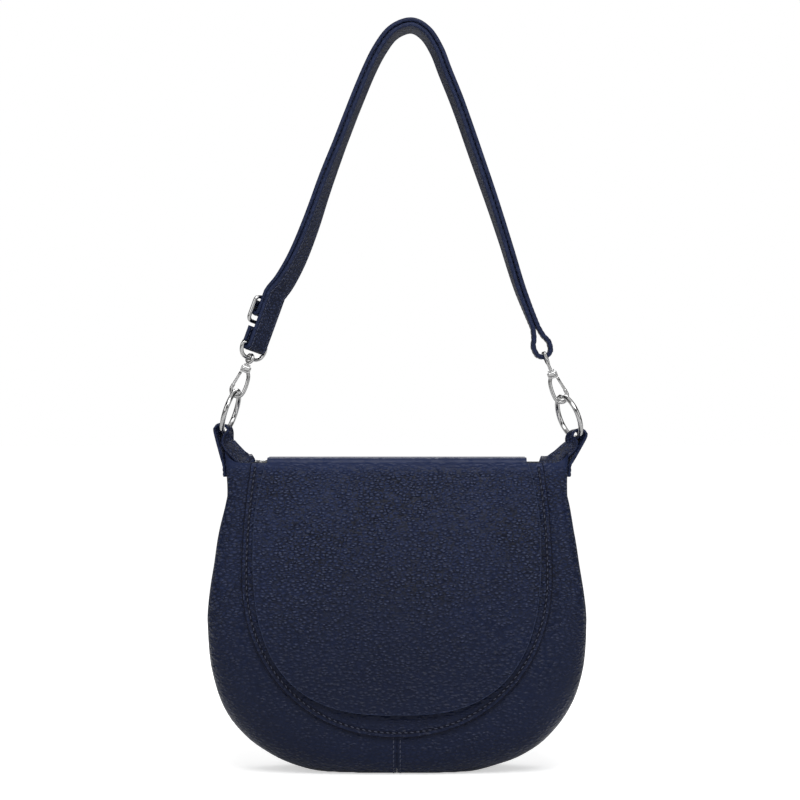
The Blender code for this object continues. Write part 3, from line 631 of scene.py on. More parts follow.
def stitch_row(name, paths, body="shell", slot="navy_leather", pitch=0.0043, length=0.0033,
               thread=0.00085, sink=0.15):
    """Stitches as real beads of thread along one or more paths."""
    parts = []
    dice = random.Random(len(name))
    for path in paths:
        for spot, along, normal in resampled(path, pitch):
            lean = radians(STITCH_TILT + dice.uniform(-3.0, 3.0))
            turned = along * cos(lean) + along.cross(normal) * sin(lean)
            rise = thread * (0.5 - sink) * STITCH_FLAT
            size = length * dice.uniform(0.92, 1.05)
            parts.append(bead_part(spot + normal * rise, turned.normalized(), normal, size,
                                   thread, thread * STITCH_FLAT))
    finish_piece(place_mesh(joined_mesh(name, parts), THREAD_MAT), body=body, slot=slot)


def grid_normals(rows):
    """The normal at each point of a grid, by its neighbours."""
    found = []
    for i, row in enumerate(rows):
        above = rows[min(i + 1, len(rows) - 1)]
        below = rows[max(i - 1, 0)]
        last = len(row) - 1
        found.append([(row[min(k + 1, last)] - row[max(k - 1, 0)])
                      .cross(above[k] - below[k]).normalized() for k in range(len(row))])
    return found


def swell(point, size, height, shift=0.0):
    """Slow random rise and fall of a soft surface."""
    return height * noise.noise(Vector(point) / size + Vector((shift, shift / 2, -shift)))


class Outline:
    """A saddle outline: a rounded foot below the knee and a tapering top above it."""

    def __init__(self, half, knee, drop, power, taper, rise, ease):
        self.half, self.knee, self.drop, self.power = half, knee, drop, power
        self.taper, self.rise, self.ease = taper, rise, ease

    def shrunk(self, inset):
        return Outline(self.half - inset, self.knee, self.drop - inset, self.power,
                       self.taper, self.rise, self.ease)

    def low(self, angle):
        return (self.half * sin(angle) ** (2 / self.power),
                self.knee - self.drop * cos(angle) ** (2 / self.power))

    def high(self, z):
        return self.half - self.taper * min((z - self.knee) / self.rise, 1.0) ** self.ease

    def sides(self, top, count):
        heights = [self.knee + (top - self.knee) * share for share in steps_to(count)]
        return [(self.high(z), z) for z in heights]

    def rows(self, top, ease=1.0):
        return [self.low(pi / 2 * (i / LOW_ROWS) ** ease)
                for i in range(LOW_ROWS)] + self.sides(top, HIGH_ROWS)

    def even_rows(self, top, tip, count):
        """Places at even steps up the right side, from half the width of a flat tip."""
        first = asin((tip / self.half) ** (self.power / 2))
        fine = [self.low(first + (pi / 2 - first) * i / 300) for i in range(300)]
        fine += self.sides(top, 100)
        spots = places_along(fine, lambda total: [total * i / count for i in range(count)])
        return [[a + (b - a) * t for a, b in zip(fine[k], fine[k + 1])]
                for k, t in spots] + [fine[-1]]

    def line(self, top, inset):
        """Places from the left top round the foot to the right top, drawn in."""
        right = self.shrunk(inset).rows(top)
        return [(-x, z) for x, z in reversed(right[1:])] + right

    def inset(self, x, z):
        """Roughly how far a place lies inside the outline."""
        if z >= self.knee:
            return self.high(z) - abs(x)
        u = abs(x) / self.half
        v = (self.knee - z) / self.drop
        reach = (u ** self.power + v ** self.power) ** (1 / self.power)
        return (1 - reach) * hypot(abs(x), self.knee - z) / max(reach, 1e-6)


FLAP_TOP_Z = TOP_Z + FLAP_LIFT + FLAP_LEATHER
SIDE = Outline(0.1545, 0.123, 0.123 + BASE_SINK, 2.7, 0.0155, 0.100, 1.5)
FRONT = Outline(0.125, 0.160, 0.129, 2.1, 0.007, TOP_Z - 0.160, 1.9)
BACK = Outline(0.142, 0.130, 0.112, 2.5, 0.016, TOP_Z - 0.130, 1.5)
FLAP = Outline(0.116, 0.183, 0.1335, 2.7, 0.011, FLAP_TOP_Z - 0.183, 2.0)
FLAP_TOP_HALF = FLAP.high(FLAP_TOP_Z)


def height_share(z):
    return min(max(z, 0.0) / TOP_Z, 1.0)


def half_depth(z):
    return TOP_HALF_DEPTH + DEPTH_GROWTH * (1 - height_share(z) ** DEPTH_EASE)


def crown(x, z, half):
    across = 1 - min(abs(x) / half, 1.0) ** 2
    return CROWN * across * sin(pi * height_share(z))


def front_y(x, z, inset=0.0):
    return -(half_depth(z) + crown(x, z, FRONT.half) - inset)


def back_y(x, z, inset=0.0):
    return half_depth(z) + crown(x, z, BACK.half) - inset


SEAM_IN = 0.0034
SEAM_WIDTH = 0.0014
SEAM_DEPTH = 0.00050
NORMAL_STEP = 0.0008


def seam_groove(inset):
    """The leather pulled down under a row of stitches."""
    return SEAM_DEPTH * exp(-((inset - SEAM_IN) / SEAM_WIDTH) ** 2)


def face_normal(face, x, z, sign):
    step = NORMAL_STEP
    slope_x = (face(x + step, z) - face(x - step, z)) / (2 * step)
    slope_z = (face(x, z + step) - face(x, z - step)) / (2 * step)
    return Vector((slope_x, -1, slope_z)).normalized() * -sign


def front_face(x, z):
    soft = swell((x, 0, z), 0.055, 0.0007) + swell((x, 0, z), 0.021, 0.00022)
    return front_y(x, z) + seam_groove(FRONT.inset(x, z)) + soft * 0.6


def back_face(x, z):
    soft = swell((x, 1, z), 0.060, 0.0010) + swell((x, 1, z), 0.024, 0.0003)
    return back_y(x, z) - seam_groove(BACK.inset(x, z)) + soft * 0.6


TIP_HALF = 0.009


def spread_columns(half):
    """Places from side to side, closer together near the edges."""
    shares = [k / PANEL_COLUMNS - 1 for k in range(2 * PANEL_COLUMNS + 1)]
    return [half * (0.7 * sin(pi / 2 * share) + 0.3 * share) for share in shares]


def panel_rows(outline, face, top):
    """Rows of points over a panel, from its foot to its top."""
    return [[(x, face(x, z), z) for x in spread_columns(half)]
            for half, z in outline.even_rows(top, TIP_HALF, PANEL_ROWS)]


def face_track(face, line, sign):
    """A path of places and normals on a face, for stitches."""
    return [(Vector((x, face(x, z), z)), face_normal(face, x, z, sign)) for x, z in line]


# A dark strip of painted shade in the groove that a row of stitches lies in
SHADE_STRIP_HALF = 0.0010
SHADE_STRIP_PROUD = 0.0002
SHADE_STRIP_DEPTH = 0.0004
SEAM_END_Z = TOP_Z - 0.003


def seam_shade_strip(name, outline, face, sign):
    tracks = [face_track(face, outline.line(SEAM_END_Z, SEAM_IN + SHADE_STRIP_HALF * share), sign)
              for share in (-1, -0.5, 0, 0.5, 1)]
    rows = [[place + normal * SHADE_STRIP_PROUD for place, normal in spots]
            + [place - normal * SHADE_STRIP_DEPTH for place, normal in reversed(spots)]
            for spots in zip(*tracks)]
    mesh = smooth_mesh(name, rows, closed=True, cap_first=True, cap_last=True)
    finish_piece(place_mesh(facing_out(mesh, 50), EDGE_MAT))


def whole(rows, name, node, mat, thickness, bulge):
    """One piece of leather, from the grid of its outer face."""
    thing = thick(place_mesh(smooth_mesh(name, rows), mat, EDGE_MAT), thickness, -1, bulge)
    finish_piece(thing, node)


# Front and back panels
PANEL_BULGE = 0.0009
whole(panel_rows(FRONT, front_face, TOP_Z), "front_leather", "front_panel", LEATHER_MAT,
      LEATHER, PANEL_BULGE)
whole([row[::-1] for row in panel_rows(BACK, back_face, TOP_Z)], "back_leather", "back_panel",
      LEATHER_MAT, LEATHER, PANEL_BULGE)
# Painted shade strips along the front and back stitch grooves
seam_shade_strip("front_seam_line", FRONT, front_face, -1)
seam_shade_strip("back_seam_line", BACK, back_face, 1)
stitch_row("front_stitching", [face_track(front_face, FRONT.line(SEAM_END_Z, SEAM_IN), -1)],
           pitch=0.0048, length=0.0028, sink=-0.3)
stitch_row("back_stitching", [face_track(back_face, BACK.line(SEAM_END_Z, SEAM_IN), 1)])

# Border, of a left and a right piece that meet in a seam under the bag
ROW_EASE = 1.9
FLANGE_SHARES = (0, 0.35, 0.7)
SEAM_LINE = 0.0027
SEAM_PULL = 0.0007
SEAM_REACH = 0.0022
SEAM_TOP_Z = 0.05
SWELL_SINK = 0.0004
PINCH_REACH = 0.055
EAR_RISE = 0.0095
EAR_LEAN = 0.0022
EAR_FOOT_Z = 0.226
EAR_REACH = 0.021


def border_half(flange, edge, side, face):
    """From under one panel's edge out to the middle of the border."""
    (ex, ez), (sx, sz) = edge, side
    middle_y = -SIDE_FORWARD * sin(pi * height_share(sz))
    under = LEATHER + CLEARANCE
    points = []
    for share in FLANGE_SHARES:
        x, z = [a + (b - a) * share for a, b in zip(flange, edge)]
        points.append(Vector((x, face(x, z, under), z)))
    for share in steps_to(GUSSET_STEPS):
        out = sin(pi / 2 * share) ** (2 / SIDE_ROUND)
        level = cos(pi / 2 * share) ** (2 / SIDE_ROUND)
        points.append(Vector((ex + (sx - ex) * out,
                              middle_y + (face(ex, ez, under) - middle_y) * level,
                              ez + (sz - ez) * out)))
    return points


def border_rows(sign):
    """The border's outer face, softened, with its seam drawn in under the bag."""
    outlines = [FRONT.shrunk(FLANGE), FRONT, SIDE, BACK, BACK.shrunk(FLANGE)]
    tables = [outline.rows(TOP_Z, ROW_EASE) for outline in outlines]
    rows = []
    for flange, front, side, back, back_flange in zip(*tables):
        rows.append(border_half(flange, front, side, front_y)
                    + border_half(back_flange, back, side, back_y)[-2::-1])
    found = []
    last = len(rows[0]) - 1
    for row, line in zip(rows, grid_normals(rows)):
        moved = []
        for k, (point, normal) in enumerate(zip(row, line)):
            free = shared(min(k, last - k), 2, 7)
            place = Vector((sign * point.x, point.y, point.z))
            soft = swell(place, 0.048, 0.0011) + swell(place, 0.019, 0.0003)
            pinch = exp(-((point.z - TOP_Z) / PINCH_REACH) ** 2)
            crease = swell((place.x * 2.2, place.y * 2.2, place.z * 0.35), 0.020, 0.0011, 3.0)
            push = (soft + crease * pinch - SWELL_SINK) * free
            if point.z < SEAM_TOP_Z:
                near = max(1 - abs(point.x) / SEAM_REACH, 0.0)
                push -= SEAM_PULL * near ** 2 * min(free * 3, 1.0)
            point = point + normal * push
            top_half = FRONT.high(TOP_Z)
            lift = shared(point.z, EAR_FOOT_Z, TOP_Z) ** 2
            lift *= shared(point.x, top_half, top_half + EAR_REACH) ** 5
            point.z += EAR_RISE * lift
            point.x += EAR_LEAN * lift
            point.x = max(point.x, SEAM_HALF_GAP * 0.3)
            point.z = max(point.z, 0.0)
            moved.append(point)
        found.append(moved)
    return found


def track_at(rows, x):
    """The path across the border at one distance from the middle, with normals."""
    normals = grid_normals(rows)
    found = []
    for k in range(len(rows[0])):
        for i in range(len(rows) - 1):
            a, b = rows[i][k], rows[i + 1][k]
            if a.x <= x < b.x:
                t = (x - a.x) / (b.x - a.x)
                found.append((a.lerp(b, t), normals[i][k].lerp(normals[i + 1][k], t)))
                break
    return found


def mirrored(spot, sign):
    return Vector((sign * spot.x, spot.y, spot.z))


border_paths = []
for side, sign in (("left", -1), ("right", 1)):
    border = border_rows(sign)
    way = 1 if grid_normals(border)[LOW_ROWS][len(border[0]) // 2].x > 0 else -1
    border_paths.append([(mirrored(place, sign), mirrored(normal * way, sign))
                         for place, normal in track_at(border, SEAM_LINE)[2:-2]])
    grid = [[mirrored(place, sign) for place in row[::way * sign]] for row in border]
    whole(grid, f"border_{side}", f"gusset_{side}", BORDER_MAT, GUSSET_LEATHER, 0.0001)
stitch_row("seam_stitching", border_paths, pitch=0.0040, length=0.0030)

# Flap: up the front, over the mouth, and down to a tail sewn on the back panel
FLAP_SEWN_IN = 0.0036
FLAP_SINK = 0.0004
FLAP_RIM = 0.0005
FLAP_RIM_REACH = 0.0035
FREE_REACH = 0.06
TOP_DIP = 0.0006
BEND_STEPS = 10
TAIL_GAP = 0.0003
TAIL_FILL = 0.0002
TAIL_STEPS = 16
TAIL_EASE = 1.6
TAIL_TAPER = 0.05
TAIL_CORNER = 0.016
TAIL_TRACK_STEPS = 40
BACK_BEND = 0.0056
FLAP_BLEND = ((0, 0.018, 0.2541), (0, 0.008, 0.2541))
BEND_LOW_Z = FLAP_TOP_Z - BACK_BEND
STRAIGHT_TOP_Z = FLAP_TOP_Z - FLAP_BEND


def flap_face(x, z):
    """The flap's outer face: it follows the body and lifts a little near its edge."""
    free = min(max((TOP_Z - z) / FREE_REACH, 0.0), 1.0)
    gap = FLAP_TOP_GAP + FLAP_FREE_GAP * (FLAP_TOP_Z - z) / (FLAP_TOP_Z - FLAP.knee + FLAP.drop)
    soft = swell((x, 0, z), 0.055, 0.0007) * 0.6 + swell((x, 0.4, z), 0.075, 0.0012) * free
    rim = exp(-(max(FLAP.inset(x, z), 0.0) / FLAP_RIM_REACH) ** 2)
    return front_y(x, z) - gap - FLAP_LEATHER + soft + (FLAP_RIM * rim - FLAP_SINK) * free


def tail_half(drop, inset=0.0):
    """Half the tail's width at one distance below the bend, round at its corners."""
    wide = FLAP_TOP_HALF - TAIL_TAPER * drop - inset
    left = FLAP_TAIL - inset - drop
    corner = TAIL_CORNER - inset
    if left < corner:
        wide -= corner - sqrt(max(corner ** 2 - (corner - left) ** 2, 0.0))
    return wide


def tail_face(x, z):
    """The tail lies on the back panel, a little clear of its swells."""
    fill = TAIL_FILL * (1 + sin(pi * shared(TOP_Z - z, 0, FLAP_TAIL)))
    return back_face(x, z) + TAIL_GAP + FLAP_LEATHER + fill


def flap_rows():
    rows = panel_rows(FLAP, flap_face, STRAIGHT_TOP_Z)
    across = [(x, flap_face(x, STRAIGHT_TOP_Z)) for x in spread_columns(FLAP_TOP_HALF)]
    bend = [pi / 2 * share for share in steps_to(BEND_STEPS, 1)]
    for angle in bend:
        rows.append([(x, y + FLAP_BEND * (1 - cos(angle)),
                      STRAIGHT_TOP_Z + FLAP_BEND * sin(angle)) for x, y in across])
    for share in steps_to(BEND_STEPS, 1):
        dip = TOP_DIP * sin(pi * share)
        rows.append([(x, y + FLAP_BEND + (HINGE_Y - y - FLAP_BEND) * share,
                      FLAP_TOP_Z - dip * (0.6 + 0.4 * cos(x * 60))) for x, y in across])
    for angle in bend:
        rows.append([(x, HINGE_Y + (tail_face(x, BEND_LOW_Z) - HINGE_Y) * sin(angle),
                      BEND_LOW_Z + BACK_BEND * cos(angle)) for x, _ in across])
    for share in steps_to(TAIL_STEPS, 1):
        drop = FLAP_TAIL * (1 - (1 - share) ** TAIL_EASE)
        z = BEND_LOW_Z - drop
        rows.append([(x, tail_face(x, z), z) for x in spread_columns(tail_half(drop))])
    return rows


def tail_line():
    drops = [(FLAP_TAIL - FLAP_SEWN_IN) * share for share in steps_to(TAIL_TRACK_STEPS)]
    right = [(tail_half(drop, FLAP_SEWN_IN), BEND_LOW_Z - drop) for drop in drops]
    return right + [(-x, z) for x, z in reversed(right)]


# The flap's rim takes the lighter edge paint, a painted highlight along its edge
flap_piece = thick(place_mesh(smooth_mesh("flap_leather", flap_rows()), LEATHER_MAT,
                              FLAP_EDGE_MAT, INNER_MAT), FLAP_LEATHER, -1, inner_slot=2)
blend_piece(flap_piece, "navy_leather", "flap", ("shell", "flap"), *FLAP_BLEND)
stitch_row("flap_tail_stitching", [face_track(tail_face, tail_line(), 1)])

# Lining, of woven cloth
LINING_CLOTH = 0.0008
LINING_TOP_Z = 0.236
LINING_FLOOR = GUSSET_LEATHER + FIT + 0.002 + FIT
LINING_SIDES = 96
LINING_ROWS = 44
LINING_EASE = 1.6
LINING_FOOT = 0.030
LINING_FOOT_IN = 0.30
LINING_SIDE_ROOM = 0.012
LINING_DEPTH_ROOM = 0.0062
LINING_SLACK = 0.0005


def lining_row(rise):
    z = LINING_FLOOR + (LINING_TOP_Z - LINING_FLOOR) * rise
    share = 1 - LINING_FOOT_IN * max(1 - (z - LINING_FLOOR) / LINING_FOOT, 0.0) ** 2
    low = 1 - (max(SIDE.knee - z, 0.0) / SIDE.drop) ** SIDE.power
    side = SIDE.half * low ** (1 / SIDE.power) if z < SIDE.knee else SIDE.high(z)
    half = (side - LINING_SIDE_ROOM) * share
    deep = (half_depth(z) - LINING_DEPTH_ROOM) * share
    row = []
    for turn in turns(LINING_SIDES, 0.5):
        x = half * rounded(cos(turn), 2 / 3)
        y = deep * rounded(sin(turn), 2 / 3)
        slack = LINING_SLACK + abs(swell((x, y, z), 0.030, 0.0028, 5.0))
        slack *= sin(pi * min(max(rise, 0.02), 0.97)) / hypot(x, y)
        row.append((x * (1 - slack), y * (1 - slack), z))
    return row


lining_rows = [lining_row(share ** LINING_EASE) for share in steps_to(LINING_ROWS)]
lining_mesh = smooth_mesh("lining_cloth", lining_rows, closed=True, cap_first=True)
finish_piece(thick(place_mesh(lining_mesh, LINING_MAT, LINING_MAT), LINING_CLOTH, -1, 0),
             "lining", slot="lining_cloth")

# Zip: two rows of teeth, their tapes, the end tabs, the slider and its puller
TEETH_Y = 0.0095
TEETH_Z = 0.2462
TEETH_LENGTH = 0.200
TOOTH_PITCH = 0.0027
TOOTH_SIZE = (0.00115, 0.0040, 0.0022)
TIP_SIZE = (0.0013, 0.0010, 0.7 * TOOTH_SIZE[2])
TOOTH_EDGE = 0.0003
TAPE = 0.0006
TAPE_LENGTH = 0.208
TAPE_DROP = 0.011
TAPE_EDGE_Z = TEETH_Z - 0.0012
TAPE_X = 0.125
TAPE_INSET = LEATHER + FIT + TAPE / 2
TAPE_INNER_Y = TEETH_Y + 0.0015 + FIT
TAPE_WAVE = 0.0002
TAPE_COLUMNS = [TAPE_LENGTH / 2 * (k / 52 - 1) for k in range(105)]
TAPE_DOWN_STEPS = 24
TAPE_ACROSS_STEPS = 8
TAPE_BLEND = (0.0138, 0.0114)


def teeth_parts(sign):
    parts = []
    shift = 0.25 if sign > 0 else 0.75
    middle_y = TEETH_Y + 0.0015 - TOOTH_SIZE[1] / 2
    for i in range(int(TEETH_LENGTH / TOOTH_PITCH)):
        x = TOOTH_PITCH * (i + shift) - TEETH_LENGTH / 2
        centre = Vector((x, sign * middle_y, TEETH_Z))
        tip = centre - ACROSS * (sign * (TOOTH_SIZE[1] - TIP_SIZE[1]) / 2)
        parts += [block_part(centre, TOOTH_SIZE, TOOTH_EDGE, 1),
                  block_part(tip, TIP_SIZE, TOOTH_EDGE, 1)]
    return parts


def tape_rows(sign, face):
    """Up the panel's inside, then in to the teeth."""
    rows = []
    for share in steps_to(TAPE_DOWN_STEPS):
        z = TEETH_Z - TAPE_DROP + (TAPE_DROP - TEETH_Z + TAPE_EDGE_Z) * share
        wave = sign * TAPE_WAVE * (1 - share)
        rows.append([(x, face(TAPE_X, z, TAPE_INSET) - wave * sin(k * 0.9), z)
                     for k, x in enumerate(TAPE_COLUMNS)])
    edge = abs(face(TAPE_X, TAPE_EDGE_Z, TAPE_INSET))
    for share in steps_to(TAPE_ACROSS_STEPS, 1):
        y = sign * (edge + (TAPE_INNER_Y - edge) * share)
        z = TAPE_EDGE_Z + (TEETH_Z - TAPE_EDGE_Z) * sin(pi / 2 * share)
        rows.append([(x, y, z) for x in TAPE_COLUMNS])
    return rows


for name, sign, face in (("front", -1, front_y), ("back", 1, back_y)):
    metal(f"zip_teeth_row_{name}", teeth_parts(sign), f"zip_half_{name}",
          f"zip_teeth_{name}", "zip_metal")
    mesh = smooth_mesh(f"zip_cloth_{name}", tape_rows(sign, face))
    tape = thick(place_mesh(mesh, TAPE_MAT, TAPE_MAT), TAPE, 0, 0)
    start, end = [(0, sign * y, TEETH_Z) for y in TAPE_BLEND]
    blend_piece(tape, "zip_tape", f"zip_tape_{name}", ("shell", f"zip_half_{name}"), start,
                end)

STOP_CLOTH = 0.0010
STOP_START = TAPE_LENGTH / 2 + 0.0005
STOP_LENGTH = 0.0093
STOP_HALF = 0.0118
STOP_RISE = 0.0012
STOP_FALL = 0.00045
STOP_SIDE_FALL = 0.0003


def stop_row(sign, share_y):
    return [(sign * (STOP_START + STOP_LENGTH * k / 10), STOP_HALF * share_y,
             TEETH_Z + STOP_RISE - STOP_FALL * (k / 10) ** 3 - STOP_SIDE_FALL * share_y ** 4)
            for k in range(11)][::-sign]


for side, sign in (("left", -1), ("right", 1)):
    rows = [stop_row(sign, sin(pi / 2 * (i / 7 - 1))) for i in range(15)]
    cover = place_mesh(smooth_mesh(f"zip_stop_{side}", rows), TAPE_MAT, TAPE_MAT)
    if sum(face.normal.z for face in cover.data.polygons) < 0:
        cover.data.flip_normals()
    finish_piece(thick(cover, STOP_CLOTH, -1, 0.0003), f"zip_end_{side}", slot="zip_tape")

SLIDER = Vector((-0.1085, 0, 0.2492))
SLIDER_BLOCKS = (((0, 0, -0.0009), (0.0108, 0.0088, 0.0010), 0.0004),
                 ((0, 0, 0.0004), (0.0100, 0.0074, 0.0012), 0.0004),
                 ((0, -0.0040, -0.0003), (0.0096, 0.0009, 0.0020), 0.0003),
                 ((0, 0.0040, -0.0003), (0.0096, 0.0009, 0.0020), 0.0003))
SLIDER_BRIDGE = ((-0.0048, 0.0006), (-0.0042, 0.0011), (-0.0030, 0.0012), (0.0020, 0.0012),
                 (0.0034, 0.0009), (0.0040, 0.0004))
BRIDGE_WIRE = 0.0004
slider_parts = [block_part(SLIDER + Vector(place), size, edge)
                for place, size, edge in SLIDER_BLOCKS]
slider_parts.append(tube_part([SLIDER + Vector((x, 0, z)) for x, z in SLIDER_BRIDGE],
                              BRIDGE_WIRE, sides=12))
metal("zip_slider_body", slider_parts, "slider", "zip_slider", "zip_metal")

PIVOT = Vector((-0.1147, 0, 0.2517))
PULLER_HALF = (0.0042, 0.0027)
PULLER_REACH = 0.0041
PULLER_WIRE = 0.00062
PULLER_PIN = 0.00065
puller_loop = [PIVOT + Vector((PULLER_REACH + PULLER_HALF[0] * rounded(cos(turn), 0.5),
                               PULLER_HALF[1] * rounded(sin(turn), 0.6), 0))
               for turn in turns(24)]
puller_parts = [tube_part(puller_loop, PULLER_WIRE, closed=True, sides=12, up=UP),
                block_part(PIVOT + Vector((0.0056, 0, 0)), (0.0040, 0.0046, 0.0007), 0.0003),
                tube_part([PIVOT + ACROSS * y for y in (-0.0029, 0, 0.0029)], PULLER_PIN,
                          sides=14)]
metal("zip_puller_plate", puller_parts, "puller", "zip_puller", "zip_metal")


# Strap: one long band, doubled, with stitched and painted edges
def leaning(degrees):
    angle = radians(degrees)
    return Vector((sin(angle), 0, cos(angle)))


def band_frame(tangent, twist):
    angle = radians(twist)
    inward = ACROSS.cross(tangent).normalized()
    normal = sin(angle) * ACROSS - cos(angle) * inward
    across = cos(angle) * ACROSS + sin(angle) * inward
    return normal, across


TAIL_UP = leaning(TAIL_LEAN)
TAIL_NORMAL, TAIL_ACROSS = band_frame(TAIL_UP, TAIL_TWIST)
D_FOLD = D_WIRE + FIT + STRAP_LEATHER / 2
BUCKLE_FOLD = BUCKLE_WIRE + FIT + STRAP_LEATHER / 2
D_BAR = Vector((D_BAR_X, 0, D_BAR_Z))
TAIL = D_BAR - TAIL_NORMAL * D_FOLD
BUCKLE = TAIL + TAIL_UP * BUCKLE_RISE + TAIL_NORMAL * (2 * LAYER_OFFSET + BUCKLE_FOLD)
LOOP_UP = leaning(-LOOP_LEAN)
LOOP_IN = LOOP_UP.cross(ACROSS)
LOOP = Vector((LOOP_X, 0, LOOP_Z))
WIDE_EYE_BAR = LOOP - LOOP_UP * (LOOP_DROP - STRAP_LEATHER / 2 - FIT - EYE_WIRE)
LAYER_WAVE = 0.00018
LAYER_REST = 0.0001
STATION_GAP = 0.0004


def smooth_path(points, steps):
    ends = [2 * points[0] - points[1], *points, 2 * points[-1] - points[-2]]
    found = []
    for a, b, c, d in zip(ends, ends[1:], ends[2:], ends[3:]):
        for i in range(steps):
            t = i / steps
            found.append((2 * b + (c - a) * t + (2 * a - 5 * b + 4 * c - d) * t ** 2
                          + (3 * b - a - 3 * c + d) * t ** 3) / 2)
    found.append(points[-1])
    return found


def fold(centre, start, towards, radius, steps=FOLD_STEPS):
    return [centre + radius * (cos(pi * share) * start
                               + sin(pi * share) * towards)
            for share in steps_to(steps)]


def leg_layers():
    """The doubled leg, from the tail over the apex to the loop, as two layers."""
    start = TAIL + TAIL_UP * TAIL_REACH
    points = [TAIL + TAIL_NORMAL * LAYER_OFFSET + TAIL_UP * TAIL_REACH]
    for x, z in LEFT_LEG_SHARES + RIGHT_LEG_SHARES:
        points.append(Vector((x * STRAP_HALF_SPAN, 0, start.z + z * (STRAP_TOP - start.z))))
    points.append(LOOP + LOOP_UP * LOOP_NECK)
    centres = smooth_path(points, LEG_STEPS)
    layers = ([], [])
    last = len(centres) - 1
    blend_steps = BLEND_SPANS * LEG_STEPS
    for i, centre in enumerate(centres):
        tangent = tangent_at(centres, i)
        tangent.y = 0
        if i == 0:
            tangent = TAIL_UP
        if i == last:
            tangent = -LOOP_UP
        twist = TAIL_TWIST + (LEG_TWIST - TAIL_TWIST) * min(i / blend_steps, 1.0)
        twist *= min((last - i) / blend_steps, 1.0)
        normal, across = band_frame(tangent.normalized(), twist)
        away = LAYER_OFFSET + LAYER_WAVE * noise.noise(centre / 0.03) + LAYER_REST
        for layer, way in zip(layers, (-1, 1)):
            layer.append((centre + normal * away * way, across))
    return layers


def strap_stations():
    front = TAIL + TAIL_NORMAL * 2 * D_FOLD
    sewn = [front + TAIL_UP * SEWN_END * share for share in (1, 0.75, 0.5, 0.25)]
    sewn += fold(D_BAR, TAIL_NORMAL, -TAIL_UP, D_FOLD)
    sewn += [TAIL + TAIL_UP * TAIL_REACH * i / 16 for i in range(1, 16)]
    inner, outer = leg_layers()
    side = [(LOOP_NECK * t, LOOP_HALF_WIDTH * n) for t, n in LOOP_SHARES]
    around = side + [(-LOOP_DROP * cos(a), LOOP_HALF_WIDTH * sin(a))
                     for a in (pi / 4, 0, -pi / 4)]
    around += [(t, -n) for t, n in reversed(side)]
    rough = [inner[-1][0]] + [LOOP + LOOP_UP * t + LOOP_IN * n for t, n in around]
    loop = smooth_path(rough + [outer[-1][0]], 6)[1:-1]
    front = TAIL + TAIL_NORMAL * 2 * LAYER_OFFSET
    end = [front + TAIL_UP * (BUCKLE_RISE + BUCKLE_FOLD)]
    end += fold(BUCKLE, -TAIL_NORMAL, -TAIL_UP, BUCKLE_FOLD)
    end += [BUCKLE + TAIL_NORMAL * BUCKLE_FOLD + TAIL_UP * FOLD_END * share
            for share in (0.5, 1)]
    stations = [(point, TAIL_ACROSS) for point in sewn] + inner
    stations += [(point, ACROSS) for point in loop] + outer[::-1]
    return clean_stations(stations + [(point, TAIL_ACROSS) for point in end])


def clean_stations(stations):
    """Leaves out stations that lie almost on the one before."""
    kept = [stations[0]]
    for point, across in stations[1:]:
        if (point - kept[-1][0]).length > STATION_GAP:
            kept.append((point, across))
    return kept


def band_axes(stations):
    """The place, across direction and normal at each station."""
    found = []
    points = [point for point, _ in stations]
    for i, (point, across) in enumerate(stations):
        tangent = tangent_at(points, i)
        across = (across - tangent * across.dot(tangent)).normalized()
        found.append((point, across, tangent.cross(across).normalized()))
    return found


FACE_SHARES = (0, 0.2, 0.45, 0.62, 0.69, 0.74, 0.79, 0.85, 0.93, 1)
BAND_EDGE = 0.0012
BAND_GROOVE = 0.00022
GROOVE_WIDTH = 0.0009
BAND_DOME = 0.00012


def band_profile(width, thickness, sewn_in):
    """Section of a band as (across, rise), and which of its spans are edge paint."""
    half = width / 2
    flat = half - BAND_EDGE
    loop = []
    for share in [-share for share in FACE_SHARES[:0:-1]] + list(FACE_SHARES):
        w = share * flat
        dip = BAND_GROOVE * exp(-((abs(w) - (half - sewn_in)) / GROOVE_WIDTH) ** 2)
        loop.append((w, thickness / 2 - dip + BAND_DOME * (1 - share * share)))
    for i in range(1, 6):
        turn = pi / 2 - pi * i / 6
        loop.append((flat + BAND_EDGE * cos(turn), thickness / 2 * sin(turn)))
    loop += [(-w, -h) for w, h in loop]
    return loop, [abs(a[0] + b[0]) / 2 > flat for a, b in zip(loop, loop[1:] + loop[:1])]


def band_piece(name, stations, width, thickness, sewn_in):
    loop, paint = band_profile(width, thickness, sewn_in)
    rows = [[point + across * w + normal * h for w, h in loop]
            for point, across, normal in band_axes(stations)]
    mesh = smooth_mesh(name, rows, closed=True, cap_first=True, cap_last=True)
    for face in mesh.polygons:
        painted = len(face.vertices) != 4 or paint[face.index % len(loop)]
        face.material_index = 1 if painted else 0
    return place_mesh(facing_out(mesh, 70), STRAP_MAT, STRAP_EDGE_MAT)


def band_tracks(stations, thickness, offset):
    """Stitch paths on both faces of a band, on either side of its middle."""
    rise = thickness / 2 - 0.00005
    return [[(point + across * way * offset + normal * side * rise, normal * side)
             for point, across, normal in band_axes(stations)]
            for way in (-1, 1) for side in (1, -1)]


STRAP_SEWN_IN = 0.0026
strap_line = strap_stations()
finish_piece(band_piece("strap_band", strap_line, STRAP_WIDTH, STRAP_LEATHER, STRAP_SEWN_IN),
             "strap", body="strap", slot="strap_leather")
stitch_row("strap_stitching", band_tracks(strap_line, STRAP_LEATHER,
                                          STRAP_WIDTH / 2 - STRAP_SEWN_IN),
           "strap", "strap_leather", pitch=0.0042, length=0.0031, thread=0.0007, sink=0.42)


